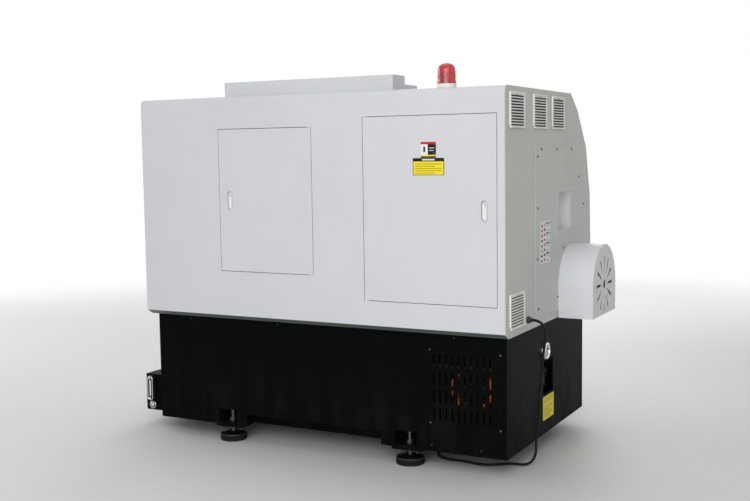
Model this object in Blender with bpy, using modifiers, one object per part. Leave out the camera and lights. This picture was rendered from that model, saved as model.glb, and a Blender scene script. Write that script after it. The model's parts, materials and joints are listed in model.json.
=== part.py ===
"""Compact slant-bed CNC turning lathe, built as the assembly of its separate pieces.

Metres, +Z up, floor at zero. The machine's row runs along X: the headstock end is at -X and the
tailstock end at +X. The operator stands at -Y and the electrical side faces +Y.
Places inside the machine are given as (u, v, z): u runs from the headstock-end face towards the
tailstock, v runs from the back face towards the operator, and z is the height above the floor.
"""

import math

import bmesh
import bpy
from mathutils import Matrix, Vector

# Clearances and stock thicknesses
GAP = 0.0003
RUNNING_GAP = 0.0008
DOOR_GAP = 0.0026
OVERRUN = 0.020
SHEET = 0.003
BASE_PLATE = 0.008
WELD = 0.00001

# Enclosure: length, and its section as (depth from the back face, height)
ENCLOSURE_LENGTH = 1.930
ROOF_HEIGHT = 1.700
SKIRT_HEIGHT = 0.627
BACK_FOLD = 0.026
ROOF_SEAM = 0.012
BROW_SEAM = 0.0012
LIP_DEPTH = 0.037
LIP_RISE = 0.023
ROOF_DEPTH = 0.891
SHOULDER_DEPTH = 1.003
SHOULDER_HEIGHT = 1.620
BROW_DEPTH = 1.147
BROW_HEIGHT = 1.440
CHEST_DEPTH = 1.217
CHEST_HEIGHT = 1.197
BELLY_DEPTH = 1.232
BELLY_HEIGHT = 0.956

# Base: a welded box under the enclosure
BASE_INSET_HEAD = 0.025
BASE_INSET_TAIL = 0.008
BASE_BACK_DEPTH = 0.080
BASE_FRONT_DEPTH = 1.180
BASE_BOTTOM = 0.082
BASE_RIM_RISE = 0.033
DECK_HEIGHT = 0.515
DECK_THICKNESS = 0.020
ARCH_HEIGHT = 0.143
ARCH_START = 0.645
ARCH_END = 1.391
BAY_LENGTH = 0.575
MOUTH_CLEAR = 0.004
CHUTE_MARGIN = 0.050
PARTITION_RISE = 0.002
FLOOR_INSET = 0.002

# Openings in the base walls
WINDOW_DEPTH = (0.557, 0.700)
WINDOW_HEIGHT = (0.271, 0.434)
GRILLE_SPAN = (0.040, 0.405)
GRILLE_HEIGHT = (0.196, 0.561)
GRILLE_LAP = 0.022
GRILLE_THICKNESS = 0.002
SLOT_COLUMNS = 10
SLOT_ROWS = 4
SLOT_WIDTH = 0.007
SLOT_HEIGHT = 0.058
SLOT_COLUMN_PITCH = 0.030
SLOT_ROW_PITCH = 0.080
SLOT_START = 0.102
SIGHT_DEPTH = 0.577
SIGHT_HEIGHT = 0.483
SIGHT_RADIUS = 0.042
SIGHT_PROUD = 0.022
SIGHT_LENS_SHARE = 0.70
SIGHT_LENS_DROP = 0.005

# Levelling feet
FOOT_STATIONS = (0.516, 1.506)
FOOT_EDGE_OFFSET = 0.045
PAD_RADIUS = 0.065
PAD_HEIGHT = 0.032
PAD_NECK_RADIUS = 0.026
PAD_NECK_HEIGHT = 0.044
FOOT_BOLT_RADIUS = 0.010
FOOT_BOLT_TOP = 0.148
FOOT_NUT_RADIUS = 0.019
FOOT_NUT_HEIGHT = 0.015
FOOT_BLOCK_WIDTH = 0.150
FOOT_BLOCK_DEPTH = 0.100
FOOT_BLOCK_BOTTOM = 0.068
FOOT_BLOCK_TOP = 0.185
FOOT_POCKET_WIDTH = 0.108
FOOT_POCKET_DEPTH = 0.094
FOOT_POCKET_HEIGHT = 0.067
FOOT_LEDGE = 0.024
FOOT_HOLE_CLEAR = 0.0006

# Doors in the back panel: span along the row, height span
SERVICE_SPAN = (0.942, 1.464)
SERVICE_HEIGHT = (0.865, 1.548)
ELECTRICAL_SPAN = (0.036, 0.677)
ELECTRICAL_HEIGHT = (0.762, 1.586)
DOOR_RETURN = 0.016
DOOR_SHEET = 0.002
HINGE_PIN_RADIUS = 0.0025
HINGE_PIN_DEPTH = 0.006
HINGE_PIN_INSET = 0.009
HINGE_PIN_REACH = 0.014
HINGE_TAB_WIDTH = 0.022
HINGE_TAB_HEIGHT = 0.010
HINGE_TAB_DEPTHS = (0.0025, 0.0110)
LATCH_WIDTH = 0.034
LATCH_LENGTH = 0.098
LATCH_RIM = 0.005
LATCH_PROUD = 0.004
LATCH_CUP_DEPTH = 0.014
LATCH_INSET = 0.060
LATCH_FLOOR = 0.002
LEVER_THICKNESS = 0.005
LEVER_SIDE_CLEAR = 0.0015
LEVER_END_CLEAR = 0.0045
LATCH_CORNERS = 8

# Cover plate on the headstock end, with its pressed pocket
COVER_BACK_DEPTH = 0.370
COVER_TOP = 1.446
COVER_BOTTOM = 0.662
COVER_FRONT_TOP = 0.925
COVER_FRONT_UPPER = (1.045, 1.293)
COVER_FRONT_LOWER = (1.118, 1.153)
COVER_FRONT_DEPTH = 1.135
COVER_FRONT_HEIGHT = 1.000
COVER_LAP = 0.030
COVER_HOLE_RADIUS = 0.100
POCKET_DEPTH_SPAN = (0.687, 0.893)
POCKET_HEIGHT_SPAN = (1.045, 1.226)
POCKET_DEPTH = 0.052
POCKET_FRAME = 0.036
POCKET_WALL = 0.002

# Louvre plates on the headstock end
VENT_WIDTH = 0.180
VENT_HEIGHT = 0.153
VENT_THICKNESS = 0.007
VENT_RIM = 0.010
VENT_SLOTS = 11
VENT_SLOT_SHARE = 0.42
VENT_PLACES = ((0.137, 1.600), (0.432, 1.600), (0.690, 1.600), (0.134, 0.739))

# Spindle line and its rear guard
SPINDLE_DEPTH = 0.889
SPINDLE_HEIGHT = 0.773
GUARD_RADIUS = 0.196
GUARD_REACH = 0.173
GUARD_BOTTOM = 0.625
GUARD_SHEET = 0.003
GUARD_HOLE_RADIUS = 0.0215
GUARD_SLOTS = 12
GUARD_SLOT_INNER = 0.055
GUARD_SLOT_OUTER = 0.135
GUARD_SLOT_NARROW = 0.007
GUARD_SLOT_WIDE = 0.019
GUARD_SEGMENTS = 24

# Roof cover and warning lamp
ROOF_COVER_SPAN = (0.571, 1.488)
ROOF_COVER_DEPTHS = (0.100, 0.220)
ROOF_COVER_FLANGE_DEPTH = 0.350
ROOF_COVER_HEIGHT = 0.073
ROOF_FLANGE_HEIGHT = 0.034
ROOF_COVER_LAP = 0.015
LAMP_U = 0.303
LAMP_V = 0.090
LAMP_RADIUS = 0.0425
LAMP_BASE_HEIGHT = 0.020
LAMP_DOME_HEIGHT = 0.090
LAMP_WALL = 0.003
LAMP_CROWN = 0.020
BULB_RADIUS = 0.009
BULB_HEIGHT = 0.044
REFLECTOR_RADIUS = 0.026
REFLECTOR_HEIGHT = 0.052
REFLECTOR_WALL = 0.002
REFLECTOR_HALF_TURN = math.radians(75.0)

# Slanted bed: lengths along the slope and square to it are taken from the spindle line
SLANT = math.radians(45.0)
WAY_DROP = 0.200
WAY_RISE = 0.025
LOWER_WAY = (-0.130, -0.070)
UPPER_WAY = (0.150, 0.210)
BED_CREST = 0.300
BED_BACK_FLAT = 0.060
BED_TAPER = 0.050
BED_START = 0.135
BED_TAIL_SPACE = 0.124

# Headstock, spindle and chuck
HEADSTOCK_SPAN = (0.150, 0.550)
HEADSTOCK_SLOPE = (-0.150, 0.230)
HEADSTOCK_RISE = 0.130
HEADSTOCK_CHAMFER = 0.045
SPINDLE_RADIUS = 0.040
SPINDLE_BORE = 0.026
BEARING_CLEARANCE = 0.0006
CYLINDER_RADIUS = 0.084
CYLINDER_SPAN = (-0.150, -0.045)
SPINDLE_PULLEY_RADIUS = 0.088
PULLEY_SPAN = (0.055, 0.115)
PULLEY_RIM = 0.005
NOSE_RADIUS = 0.078
NOSE_LENGTH = 0.022
CHUCK_RADIUS = 0.100
CHUCK_LENGTH = 0.078
JAW_COUNT = 3
JAW_WIDTH = 0.026
JAW_INNER = 0.038
JAW_LENGTH = 0.056
JAW_HEIGHT = 0.040
JAW_STEP_SHARE = 0.45
JAW_STEP_HEIGHT_SHARE = 0.55
JAW_ROOT = 0.010
SEGMENTS = 24
CHUCK_SEGMENTS = 32
PIN_SEGMENTS = 8

# Spindle motor and belt
MOTOR_DEPTH = 0.700
MOTOR_HEIGHT = 0.335
MOTOR_RADIUS = 0.105
MOTOR_SPAN = (0.150, 0.440)
MOTOR_FLANGE = 0.018
MOTOR_FLANGE_EXTRA = 0.006
MOTOR_SHAFT_RADIUS = 0.019
MOTOR_PULLEY_RADIUS = 0.052
MOTOR_SHELF = 0.010
MOTOR_SHELF_DEPTHS = (0.520, 0.880)
BELT_THICKNESS = 0.006
BELT_WIDTH = 0.044
BELT_SLOT_CLEAR = 0.012
MOTOR_FOOT = 0.012
MOTOR_FOOT_SHARE = 0.85
MOTOR_SHELF_SPAN = (0.090, 0.460)
SHELF_LEG_INSET = 0.004

# Carriage, cross slide and turret
CARRIAGE_LEAD = 0.005
CARRIAGE_TRAIL = 0.015
CARRIAGE_RISE = 0.050
CARRIAGE_SLOPE = (-0.145, 0.330)
DOVETAIL_RISE = 0.014
DOVETAIL_HALF = 0.062
DOVETAIL_UNDERCUT = 0.008
DOVETAIL_END_INSET = 0.002
CASTING_SINK = 0.002
CROSS_SLOPE = (0.080, 0.420)
CROSS_RISE = 0.046
TURRET_SLOPE = 0.330
TURRET_HOUSING_HALF = 0.088
TURRET_START = 0.990
TURRET_HOUSING_LENGTH = 0.200
TURRET_DISC_RADIUS = 0.118
TURRET_DISC_THICKNESS = 0.048
TURRET_STATIONS = 8
TOOL_REACH = 0.046
TOOL_WIDTH = 0.032
TOOL_HEIGHT = 0.024
TOOL_SINK = 0.014
TURRET_STEM_RADIUS = 0.050
TURRET_STEM_LENGTH = 0.010
TURRET_TURN_SHARE = 0.5
TOOL_BLOCK_REACH = 0.030
TOOL_BLOCK_SHARE = 0.80
CROSS_MOTOR_SIDE = 0.090
CROSS_MOTOR_LENGTH = 0.150

# Ball screw of the carriage, between its two bearing blocks, and its motor
SCREW_RADIUS = 0.0100
SCREW_SLOPE = 0.040
SCREW_START = 0.720
SCREW_BLOCK = 0.024
SCREW_BLOCK_HALF = 0.030
SCREW_BLOCK_RISE = 0.012
FEED_MOTOR_SIDE = 0.090
FEED_MOTOR_LENGTH = 0.090

# Tailstock and quill
TAILSTOCK_TAIL_SPACE = 0.155
TAILSTOCK_LENGTH = 0.215
TAILSTOCK_SLOPE = (-0.140, 0.225)
TAILSTOCK_HALF = 0.070
TAILSTOCK_RISE = 0.068
QUILL_RADIUS = 0.028
QUILL_OUT = 0.050
QUILL_CONE = 0.034
QUILL_TIP_RADIUS = 0.003
QUILL_BACK = 0.020
TAILSTOCK_SLAB_SHARE = 0.60
QUILL_CENTRE_SHARE = 0.70

# Electrical cabinet behind its door
CABINET_DEPTH = 0.250
CABINET_MARGIN = 0.014
CABINET_SHEET = 0.003
RACK_THICKNESS = 0.003
RACK_MARGIN = 0.040
DRIVE_DEPTH = 0.115
DRIVE_SIZES = ((0.130, 0.290), (0.090, 0.290), (0.090, 0.290))
DRIVE_START = (0.045, 0.370)
DRIVE_SPACE = 0.040
DRIVE_SINK = 0.001

# Front door, its window, handle and tracks
DOORWAY_SPAN = (0.620, 1.420)
DOORWAY_BOTTOM = 0.800
DOOR_LAP = 0.030
DOOR_THICKNESS = 0.018
DOOR_STANDOFF = 0.003
DOOR_TOP_LAP = 0.040
TRACK_HEIGHT = 0.700
TRACK_THICKNESS = 0.012
TRACK_REACH = 0.025
TRACK_MARGIN = 0.012
PANE_SPAN = (0.740, 1.300)
PANE_MARGIN = 0.030
PANE_THICKNESS = 0.008
PANE_LEDGE = 0.014
HANDLE_REACH = 0.091
HANDLE_RADIUS = 0.010
HANDLE_U = 1.385
HANDLE_HEIGHTS = (1.000, 1.150)

# Operator panel and its controls, on the front beside the door
CONSOLE_SPAN = (1.480, 1.880)
CONSOLE_TOP = 1.415
CONSOLE_DEPTH = 0.055
CONTROL_GAP = 0.0004
STOP_RADIUS = 0.020
STOP_STEM_RADIUS = 0.011
STOP_HEIGHT = 0.026
STOP_STEM = 0.010
STOP_SINK = 0.006
STOP_TRAVEL = 0.005
CONTROL_BOSS = 0.004
KNOB_RADIUS = 0.016
KNOB_HEIGHT = 0.018
WHEEL_RADIUS = 0.032
WHEEL_HEIGHT = 0.014
WHEEL_GRIP_RADIUS = 0.006
WHEEL_GRIP_OFFSET_SHARE = 0.68
WHEEL_GRIP_HEIGHT = 0.010
CONTROL_ROW = 0.075
CONTROL_SPACING = 0.100

# Coolant tank, drawn out at the tailstock end
TANK_REACH = 0.187
TANK_START = 0.700
TANK_DEPTHS = (0.195, 1.065)
TANK_BOTTOM = 0.0745
TANK_HEIGHT = 0.193
TANK_WALL = 0.004
TANK_LID = 0.135
RUNNER_DEPTHS = (0.240, 0.960)
RUNNER_WIDTH = 0.060
RUNNER_THICKNESS = 0.012
LEVEL_WIDTH = 0.036
LEVEL_HEIGHT = 0.132
LEVEL_THICKNESS = 0.018
LEVEL_INSET = 0.038
LEVEL_CENTRE_HEIGHT = 0.194
LEVEL_GROOVE_WIDTH = 0.014
LEVEL_GROOVE_DEPTH = 0.006
LEVEL_GROOVE_SHARE = 0.66
LEVEL_CHAMFER = 0.010

# Cooling fan behind the grille
FAN_U = 0.193
FAN_HEIGHT = 0.382
FAN_RADIUS = 0.100
FAN_BORE = 0.084
FAN_DEPTH = 0.040
FAN_BAR_HEIGHT = 0.020
FAN_BAR_THICKNESS = 0.005
FAN_BAR_OFFSET = 0.090
FAN_BAR_SPAN = (0.048, 0.397)
FAN_BAR_ROOT = 0.006
FAN_BAR_SINK = 0.001
FAN_SPIDER = 0.007
FAN_SPIDER_WIDTH = 0.014
FAN_HUB = 0.028
FAN_BLADES = 7
BLADE_TIP_CLEAR = 0.003
BLADE_THICKNESS = 0.0025
BLADE_CHORD = 0.020
BLADE_PITCH = math.radians(35.0)
BLADE_ROOT_SHARE = 0.60

# Supply cable: gland, route and plug
GLAND_DEPTH = 0.273
GLAND_HEIGHT = 0.676
GLAND_RADIUS = 0.016
GLAND_DOME_RADIUS = 0.0125
GLAND_TIP_RADIUS = 0.0105
GLAND_NUT_HEIGHT = 0.010
GLAND_REACH = 0.024
LOCK_NUT_RADIUS = 0.014
LOCK_NUT_HEIGHT = 0.006
CABLE_RADIUS = 0.006
CABLE_CLEAR = 0.0005
CABLE_SIDES = 2
CABLE_STUB = 0.006
ROUTE_STEPS = 16
CABLE_ROUTE = (
    (-0.0502, 0.2734, 0.6720),
    (-0.0671, 0.2738, 0.6608),
    (-0.0783, 0.2741, 0.6439),
    (-0.0823, 0.2745, 0.6240),
    (-0.0800, 0.2760, 0.5850),
    (-0.0700, 0.2790, 0.5200),
    (-0.0610, 0.2830, 0.4300),
    (-0.0520, 0.2870, 0.3200),
    (-0.0420, 0.2910, 0.2000),
    (-0.0330, 0.2930, 0.1200),
    (-0.0210, 0.2941, 0.0410),
    (-0.0063, 0.2947, 0.0227),
    (0.0139, 0.2954, 0.0107),
    (0.0370, 0.2960, 0.0065),
    (0.0750, 0.2900, 0.0065),
    (0.1200, 0.2620, 0.0065),
    (0.1600, 0.2330, 0.0065),
    (0.2080, 0.2180, 0.0065),
    (0.2560, 0.2240, 0.0065),
    (0.3000, 0.2320, 0.0065),
    (0.3440, 0.2290, 0.0065),
    (0.3860, 0.2340, 0.0065),
    (0.4300, 0.2600, 0.0065),
    (0.4600, 0.3120, 0.0065),
    (0.4740, 0.4000, 0.0065),
    (0.4840, 0.5600, 0.0065),
    (0.5160, 0.6500, 0.0065),
    (0.5900, 0.7120, 0.0065),
    (0.7000, 0.7380, 0.0065),
    (0.8200, 0.7400, 0.0065),
    (0.9000, 0.7400, 0.0090),
    (0.9600, 0.7400, 0.0160),
    (1.0100, 0.7400, 0.0245),
)
PLUG_START = (1.0600, 0.7400, 0.0305)
PLUG_RADIUS = 0.0300
PLUG_BODY_RADIUS = 0.0240
PLUG_GRIP_RADIUS = 0.0120
PLUG_LENGTH = 0.1300
PLUG_GRIP_LENGTH = 0.0300
PLUG_COLLAR_LENGTH = 0.0480
PLUG_CUP_DEPTH = 0.0340
PLUG_WALL = 0.0025
PIN_RADIUS = 0.0035
PIN_CIRCLE = 0.0150
PIN_LENGTH = 0.0300
PIN_COUNT = 4
ROUTE_PITCH = 0.030

# Whole machine's box, which centres the frame
U_LOW = -GUARD_REACH
U_HIGH = ENCLOSURE_LENGTH + TANK_REACH
V_LOW = -LATCH_PROUD
V_HIGH = BELLY_DEPTH + HANDLE_REACH
U_MIDDLE = (U_LOW + U_HIGH) / 2
V_MIDDLE = (V_LOW + V_HIGH) / 2

BASE_SPAN = (BASE_INSET_HEAD, ENCLOSURE_LENGTH - BASE_INSET_TAIL)
BASE_RIM = SKIRT_HEIGHT + BASE_RIM_RISE
LONG_SHEET_SPAN = (SHEET + GAP, ENCLOSURE_LENGTH - SHEET - GAP)
PARTITION_U = BASE_SPAN[0] + BAY_LENGTH
BED_END = ENCLOSURE_LENGTH - BED_TAIL_SPACE
TURRET_HOUSING_SPAN = (TURRET_START, TURRET_START + TURRET_HOUSING_LENGTH)
CARRIAGE_SPAN = (TURRET_HOUSING_SPAN[0] - CARRIAGE_LEAD, TURRET_HOUSING_SPAN[1] + CARRIAGE_TRAIL)

# Outline of the enclosure's ends, from the back lip over the roof to the front lip
BACK_LIP = (LIP_DEPTH, SKIRT_HEIGHT)
BACK_LOW = (0, SKIRT_HEIGHT + LIP_RISE)
ROOF_FRONT = (ROOF_DEPTH, ROOF_HEIGHT)
SHOULDER = (SHOULDER_DEPTH, SHOULDER_HEIGHT)
BROW = (BROW_DEPTH, BROW_HEIGHT)
CHEST = (CHEST_DEPTH, CHEST_HEIGHT)
BELLY = (BELLY_DEPTH, BELLY_HEIGHT)
FRONT_LOW = (BELLY_DEPTH, SKIRT_HEIGHT + LIP_RISE)
FRONT_LIP = (BELLY_DEPTH - LIP_DEPTH, SKIRT_HEIGHT)
FOLD_STEPS = 4

# World directions
ROW = (1, 0, 0)
TO_HEAD = (-1, 0, 0)
TO_BACK = (0, 1, 0)
UPWARD = (0, 0, 1)

PARTS = bpy.data.collections.new("cnc_turning_lathe")
HELPERS = bpy.data.collections.new("cutters")


def clear_scene():
    """Remove the objects that are already in the file and link the two collections."""
    for item in list(bpy.data.objects):
        bpy.data.objects.remove(item, do_unlink=True)
    bpy.context.scene.collection.children.link(PARTS)
    bpy.context.scene.collection.children.link(HELPERS)


def material(name, colour, roughness, metallic=0.0):
    """Make a plain Principled material."""
    made = bpy.data.materials.new(name)
    made.use_nodes = True
    shader = made.node_tree.nodes["Principled BSDF"]
    shader.inputs["Base Color"].default_value = (*colour, 1.0)
    shader.inputs["Roughness"].default_value = roughness
    shader.inputs["Metallic"].default_value = metallic
    made.diffuse_color = (*colour, 1.0)
    return made


WHITE_PAINT = material("white_paint", (0.62, 0.64, 0.66), 0.35)
BLACK_PAINT = material("black_paint", (0.012, 0.014, 0.014), 0.35)
GREY_CASTING = material("grey_casting", (0.28, 0.30, 0.31), 0.55)
GROUND_STEEL = material("ground_steel", (0.55, 0.56, 0.57), 0.25, 1.0)
DARK_STEEL = material("dark_steel", (0.08, 0.08, 0.085), 0.4, 1.0)
CHROME = material("chrome", (0.75, 0.76, 0.77), 0.1, 1.0)
CREAM_PLASTIC = material("cream_plastic", (0.72, 0.71, 0.66), 0.5)
BLACK_PLASTIC = material("black_plastic", (0.015, 0.015, 0.016), 0.5)
GREY_PLASTIC = material("grey_plastic", (0.25, 0.26, 0.27), 0.5)
BLACK_RUBBER = material("black_rubber", (0.012, 0.012, 0.012), 0.7)
ORANGE_PAINT = material("orange_paint", (0.62, 0.16, 0.03), 0.45)
RED_PLASTIC = material("red_plastic", (0.55, 0.01, 0.03), 0.2)
CLEAR_PANE = material("clear_pane", (0.75, 0.80, 0.80), 0.05)


def place(u, v, z):
    """Turn a place inside the machine into world coordinates."""
    return Vector((u - U_MIDDLE, V_MIDDLE - v, z))


def slanted(slope, rise):
    """Depth and height of a point given up the slope and square to it, from the spindle line."""
    depth = SPINDLE_DEPTH - slope * math.cos(SLANT) + rise * math.sin(SLANT)
    height = SPINDLE_HEIGHT + slope * math.sin(SLANT) + rise * math.cos(SLANT)
    return (depth, height)


def middle(span):
    """Middle of a span."""
    return (span[0] + span[1]) / 2


def new_object(name, mesh, finish, helper=False):
    """Link a mesh as a piece of the machine, or as a hidden helper."""
    made = bpy.data.objects.new(name, mesh)
    if helper:
        HELPERS.objects.link(made)
        made.hide_render = True
        made.display_type = "WIRE"
    else:
        PARTS.objects.link(made)
        mesh.materials.append(finish)
    return made


def block(name, u, v, z, finish=None, helper=False):
    """Make a box from its spans along u, v and z."""
    mesh = bpy.data.meshes.new(name)
    work = bmesh.new()
    bmesh.ops.create_cube(work, size=1.0)
    scale = Matrix.Diagonal((u[1] - u[0], v[1] - v[0], z[1] - z[0], 1.0))
    shift = Matrix.Translation(place(middle(u), middle(v), middle(z)))
    bmesh.ops.transform(work, matrix=shift @ scale, verts=work.verts)
    work.to_mesh(mesh)
    work.free()
    return new_object(name, mesh, finish, helper)


def blocks(name, boxes, finish=None, helper=False):
    """Make one object of several boxes that don't touch, each given as (centre, frame, size)."""
    mesh = bpy.data.meshes.new(name)
    work = bmesh.new()
    for centre, frame, size in boxes:
        made = bmesh.ops.create_cube(work, size=1.0)
        turn = Matrix.Translation(centre) @ frame.to_4x4() @ Matrix.Diagonal((*size, 1.0))
        bmesh.ops.transform(work, matrix=turn, verts=made["verts"])
    work.to_mesh(mesh)
    work.free()
    return new_object(name, mesh, finish, helper)


def frame_matrix(origin, across, up):
    """Frame whose X and Y lie in a plane through origin and whose Z is that plane's normal."""
    side = Vector(across).normalized()
    rise = Vector(up).normalized()
    face = side.cross(rise)
    turned = Matrix((side, rise, face)).transposed().to_4x4()
    return Matrix.Translation(Vector(origin)) @ turned


def flat_piece(name, outlines, low, high, frame, finish=None, helper=False):
    """Extrude flat outlines, the first outside and the others holes, from low to high along Z."""
    curve = bpy.data.curves.new(name, "CURVE")
    curve.dimensions = "2D"
    curve.fill_mode = "BOTH"
    curve.extrude = (high - low) / 2
    for outline in outlines:
        spline = curve.splines.new("POLY")
        spline.points.add(len(outline) - 1)
        for point, (x, y) in zip(spline.points, outline):
            point.co = (x, y, 0, 1)
        spline.use_cyclic_u = True
    drawn = bpy.data.objects.new(name + "_outline", curve)
    HELPERS.objects.link(drawn)
    bpy.context.view_layer.update()
    evaluated = drawn.evaluated_get(bpy.context.evaluated_depsgraph_get())
    mesh = bpy.data.meshes.new_from_object(evaluated)
    bpy.data.objects.remove(drawn, do_unlink=True)
    work = bmesh.new()
    work.from_mesh(mesh)
    bmesh.ops.remove_doubles(work, verts=work.verts, dist=WELD)
    lift = Matrix.Translation((0, 0, (low + high) / 2))
    bmesh.ops.transform(work, matrix=frame @ lift, verts=work.verts)
    bmesh.ops.recalc_face_normals(work, faces=work.faces)
    work.to_mesh(mesh)
    work.free()
    mesh.name = name
    mesh.materials.clear()
    return new_object(name, mesh, finish, helper)


ALONG_U = frame_matrix(place(0, 0, 0), (0, 1, 0), (0, 0, 1))
ALONG_Z = frame_matrix(place(0, 0, 0), (1, 0, 0), (0, 1, 0))


def section(name, outlines, span, finish=None, helper=False):
    """Extrude outlines of (depth, height) along the row, over a span of u."""
    drawn = [[(-depth, height) for depth, height in outline] for outline in outlines]
    return flat_piece(name, drawn, span[0], span[1], ALONG_U, finish, helper)


def wall(name, outlines, depths, finish=None, helper=False):
    """Extrude outlines of (u, height) through a span of depths."""
    return flat_piece(name, outlines, -depths[1], -depths[0], mirror_depth(), finish, helper)


def mirror_depth():
    """Frame for outlines of (u, height): its Z runs towards the back."""
    return frame_matrix(place(0, 0, 0), (1, 0, 0), (0, 0, 1)) @ Matrix.Diagonal((1, 1, -1, 1))


def plate(name, outlines, heights, finish=None, helper=False):
    """Extrude outlines of (u, depth) through a span of heights."""
    drawn = [[(u, -depth) for u, depth in outline] for outline in outlines]
    return flat_piece(name, drawn, heights[0], heights[1], ALONG_Z, finish, helper)


def rectangle(first, second):
    """Corners of a rectangle from its two spans."""
    return [(first[0], second[0]), (first[1], second[0]), (first[1], second[1]), (first[0], second[1])]


def circle(centre, radius, steps):
    """Points of a circle."""
    return arc(centre, radius, 0, math.tau, steps)[:-1]


def arc(centre, radius, start, end, steps):
    """Points of an arc from one angle to another, both ends included."""
    turn = (end - start) / steps
    angles = [start + turn * i for i in range(steps + 1)]
    x, y = centre
    return [(x + radius * math.cos(angle), y + radius * math.sin(angle)) for angle in angles]


def grown(span, margin):
    """Span made longer by a margin at each end."""
    return (span[0] - margin, span[1] + margin)


def offset_path(points, distance):
    """Move an open path to its left by a distance, with mitred corners."""
    moved = []
    for index, point in enumerate(points):
        here = Vector(point)
        normals = []
        if index > 0:
            step = (here - Vector(points[index - 1])).normalized()
            normals.append(Vector((-step.y, step.x)))
        if index < len(points) - 1:
            step = (Vector(points[index + 1]) - here).normalized()
            normals.append(Vector((-step.y, step.x)))
        total = sum(normals, Vector((0, 0)))
        mitre = total / total.length
        spread = distance / mitre.dot(normals[0])
        moved.append(tuple(here + mitre * spread))
    return moved


def folded_sheet(points, inner, outer):
    """Closed outline of a sheet folded along a path, between two offsets from it."""
    return offset_path(points, outer) + offset_path(points, inner)[::-1]


def toward(start, end, distance):
    """Point at a distance from start on the line to end."""
    first = Vector(start)
    return tuple(first + (Vector(end) - first).normalized() * distance)


def envelope():
    """Outline of the enclosure's end, with the rounded fold between the back and the roof."""
    centre = (BACK_FOLD, ROOF_HEIGHT - BACK_FOLD)
    fold = arc(centre, BACK_FOLD, math.pi, math.pi / 2, FOLD_STEPS)
    return [BACK_LIP, BACK_LOW] + fold + [ROOF_FRONT, SHOULDER, BROW, CHEST, BELLY, FRONT_LOW, FRONT_LIP]


def turned(name, profile, origin, axis, finish, closed=False, helper=False, steps=None):
    """Turn a profile of (radius, place along the axis), listed from the far end down its outer side."""
    count = steps or SEGMENTS
    mesh = bpy.data.meshes.new(name)
    edges = [(i, i + 1) for i in range(len(profile) - 1)]
    if closed:
        edges.append((len(profile) - 1, 0))
    mesh.from_pydata([(radius, 0, along) for radius, along in profile], edges, [])
    made = new_object(name, mesh, finish, helper)
    made.location = origin
    made.rotation_mode = "QUATERNION"
    made.rotation_quaternion = Vector(axis).to_track_quat("Z", "Y")
    screw = made.modifiers.new("turn", "SCREW")
    screw.steps = count
    screw.render_steps = count
    screw.use_merge_vertices = True
    screw.merge_threshold = WELD
    screw.use_smooth_shade = True
    return made


def bored(outer, bore):
    """Closed profile of a bored piece: its outer side from the far end down, then back up the bore."""
    return outer + [(bore, outer[-1][1]), (bore, outer[0][1])]


def cylinder(name, radius, low, high, origin, axis, steps=None):
    """Hidden cylinder along an axis, used to cut or join."""
    profile = [(0, high), (radius, high), (radius, low), (0, low)]
    return turned(name, profile, origin, axis, None, helper=True, steps=steps)


def combine(piece, helper, operation):
    """Cut a hidden helper from a piece, or join it on."""
    step = piece.modifiers.new(helper.name, "BOOLEAN")
    step.operation = operation
    step.solver = "EXACT"
    step.object = helper
    return piece


def cut(piece, *helpers):
    """Cut hidden helpers from a piece."""
    for helper in helpers:
        combine(piece, helper, "DIFFERENCE")
    return piece


def join(piece, *helpers):
    """Join hidden helpers to a piece."""
    for helper in helpers:
        combine(piece, helper, "UNION")
    return piece


def pivot(name, origin, *pieces):
    """Parent pieces to an empty that stands on their joint's axis."""
    empty = bpy.data.objects.new(name, None)
    empty.location = origin
    PARTS.objects.link(empty)
    bpy.context.view_layer.update()
    for piece in pieces:
        piece.parent = empty
        piece.matrix_parent_inverse = empty.matrix_world.inverted()
    return empty


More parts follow.
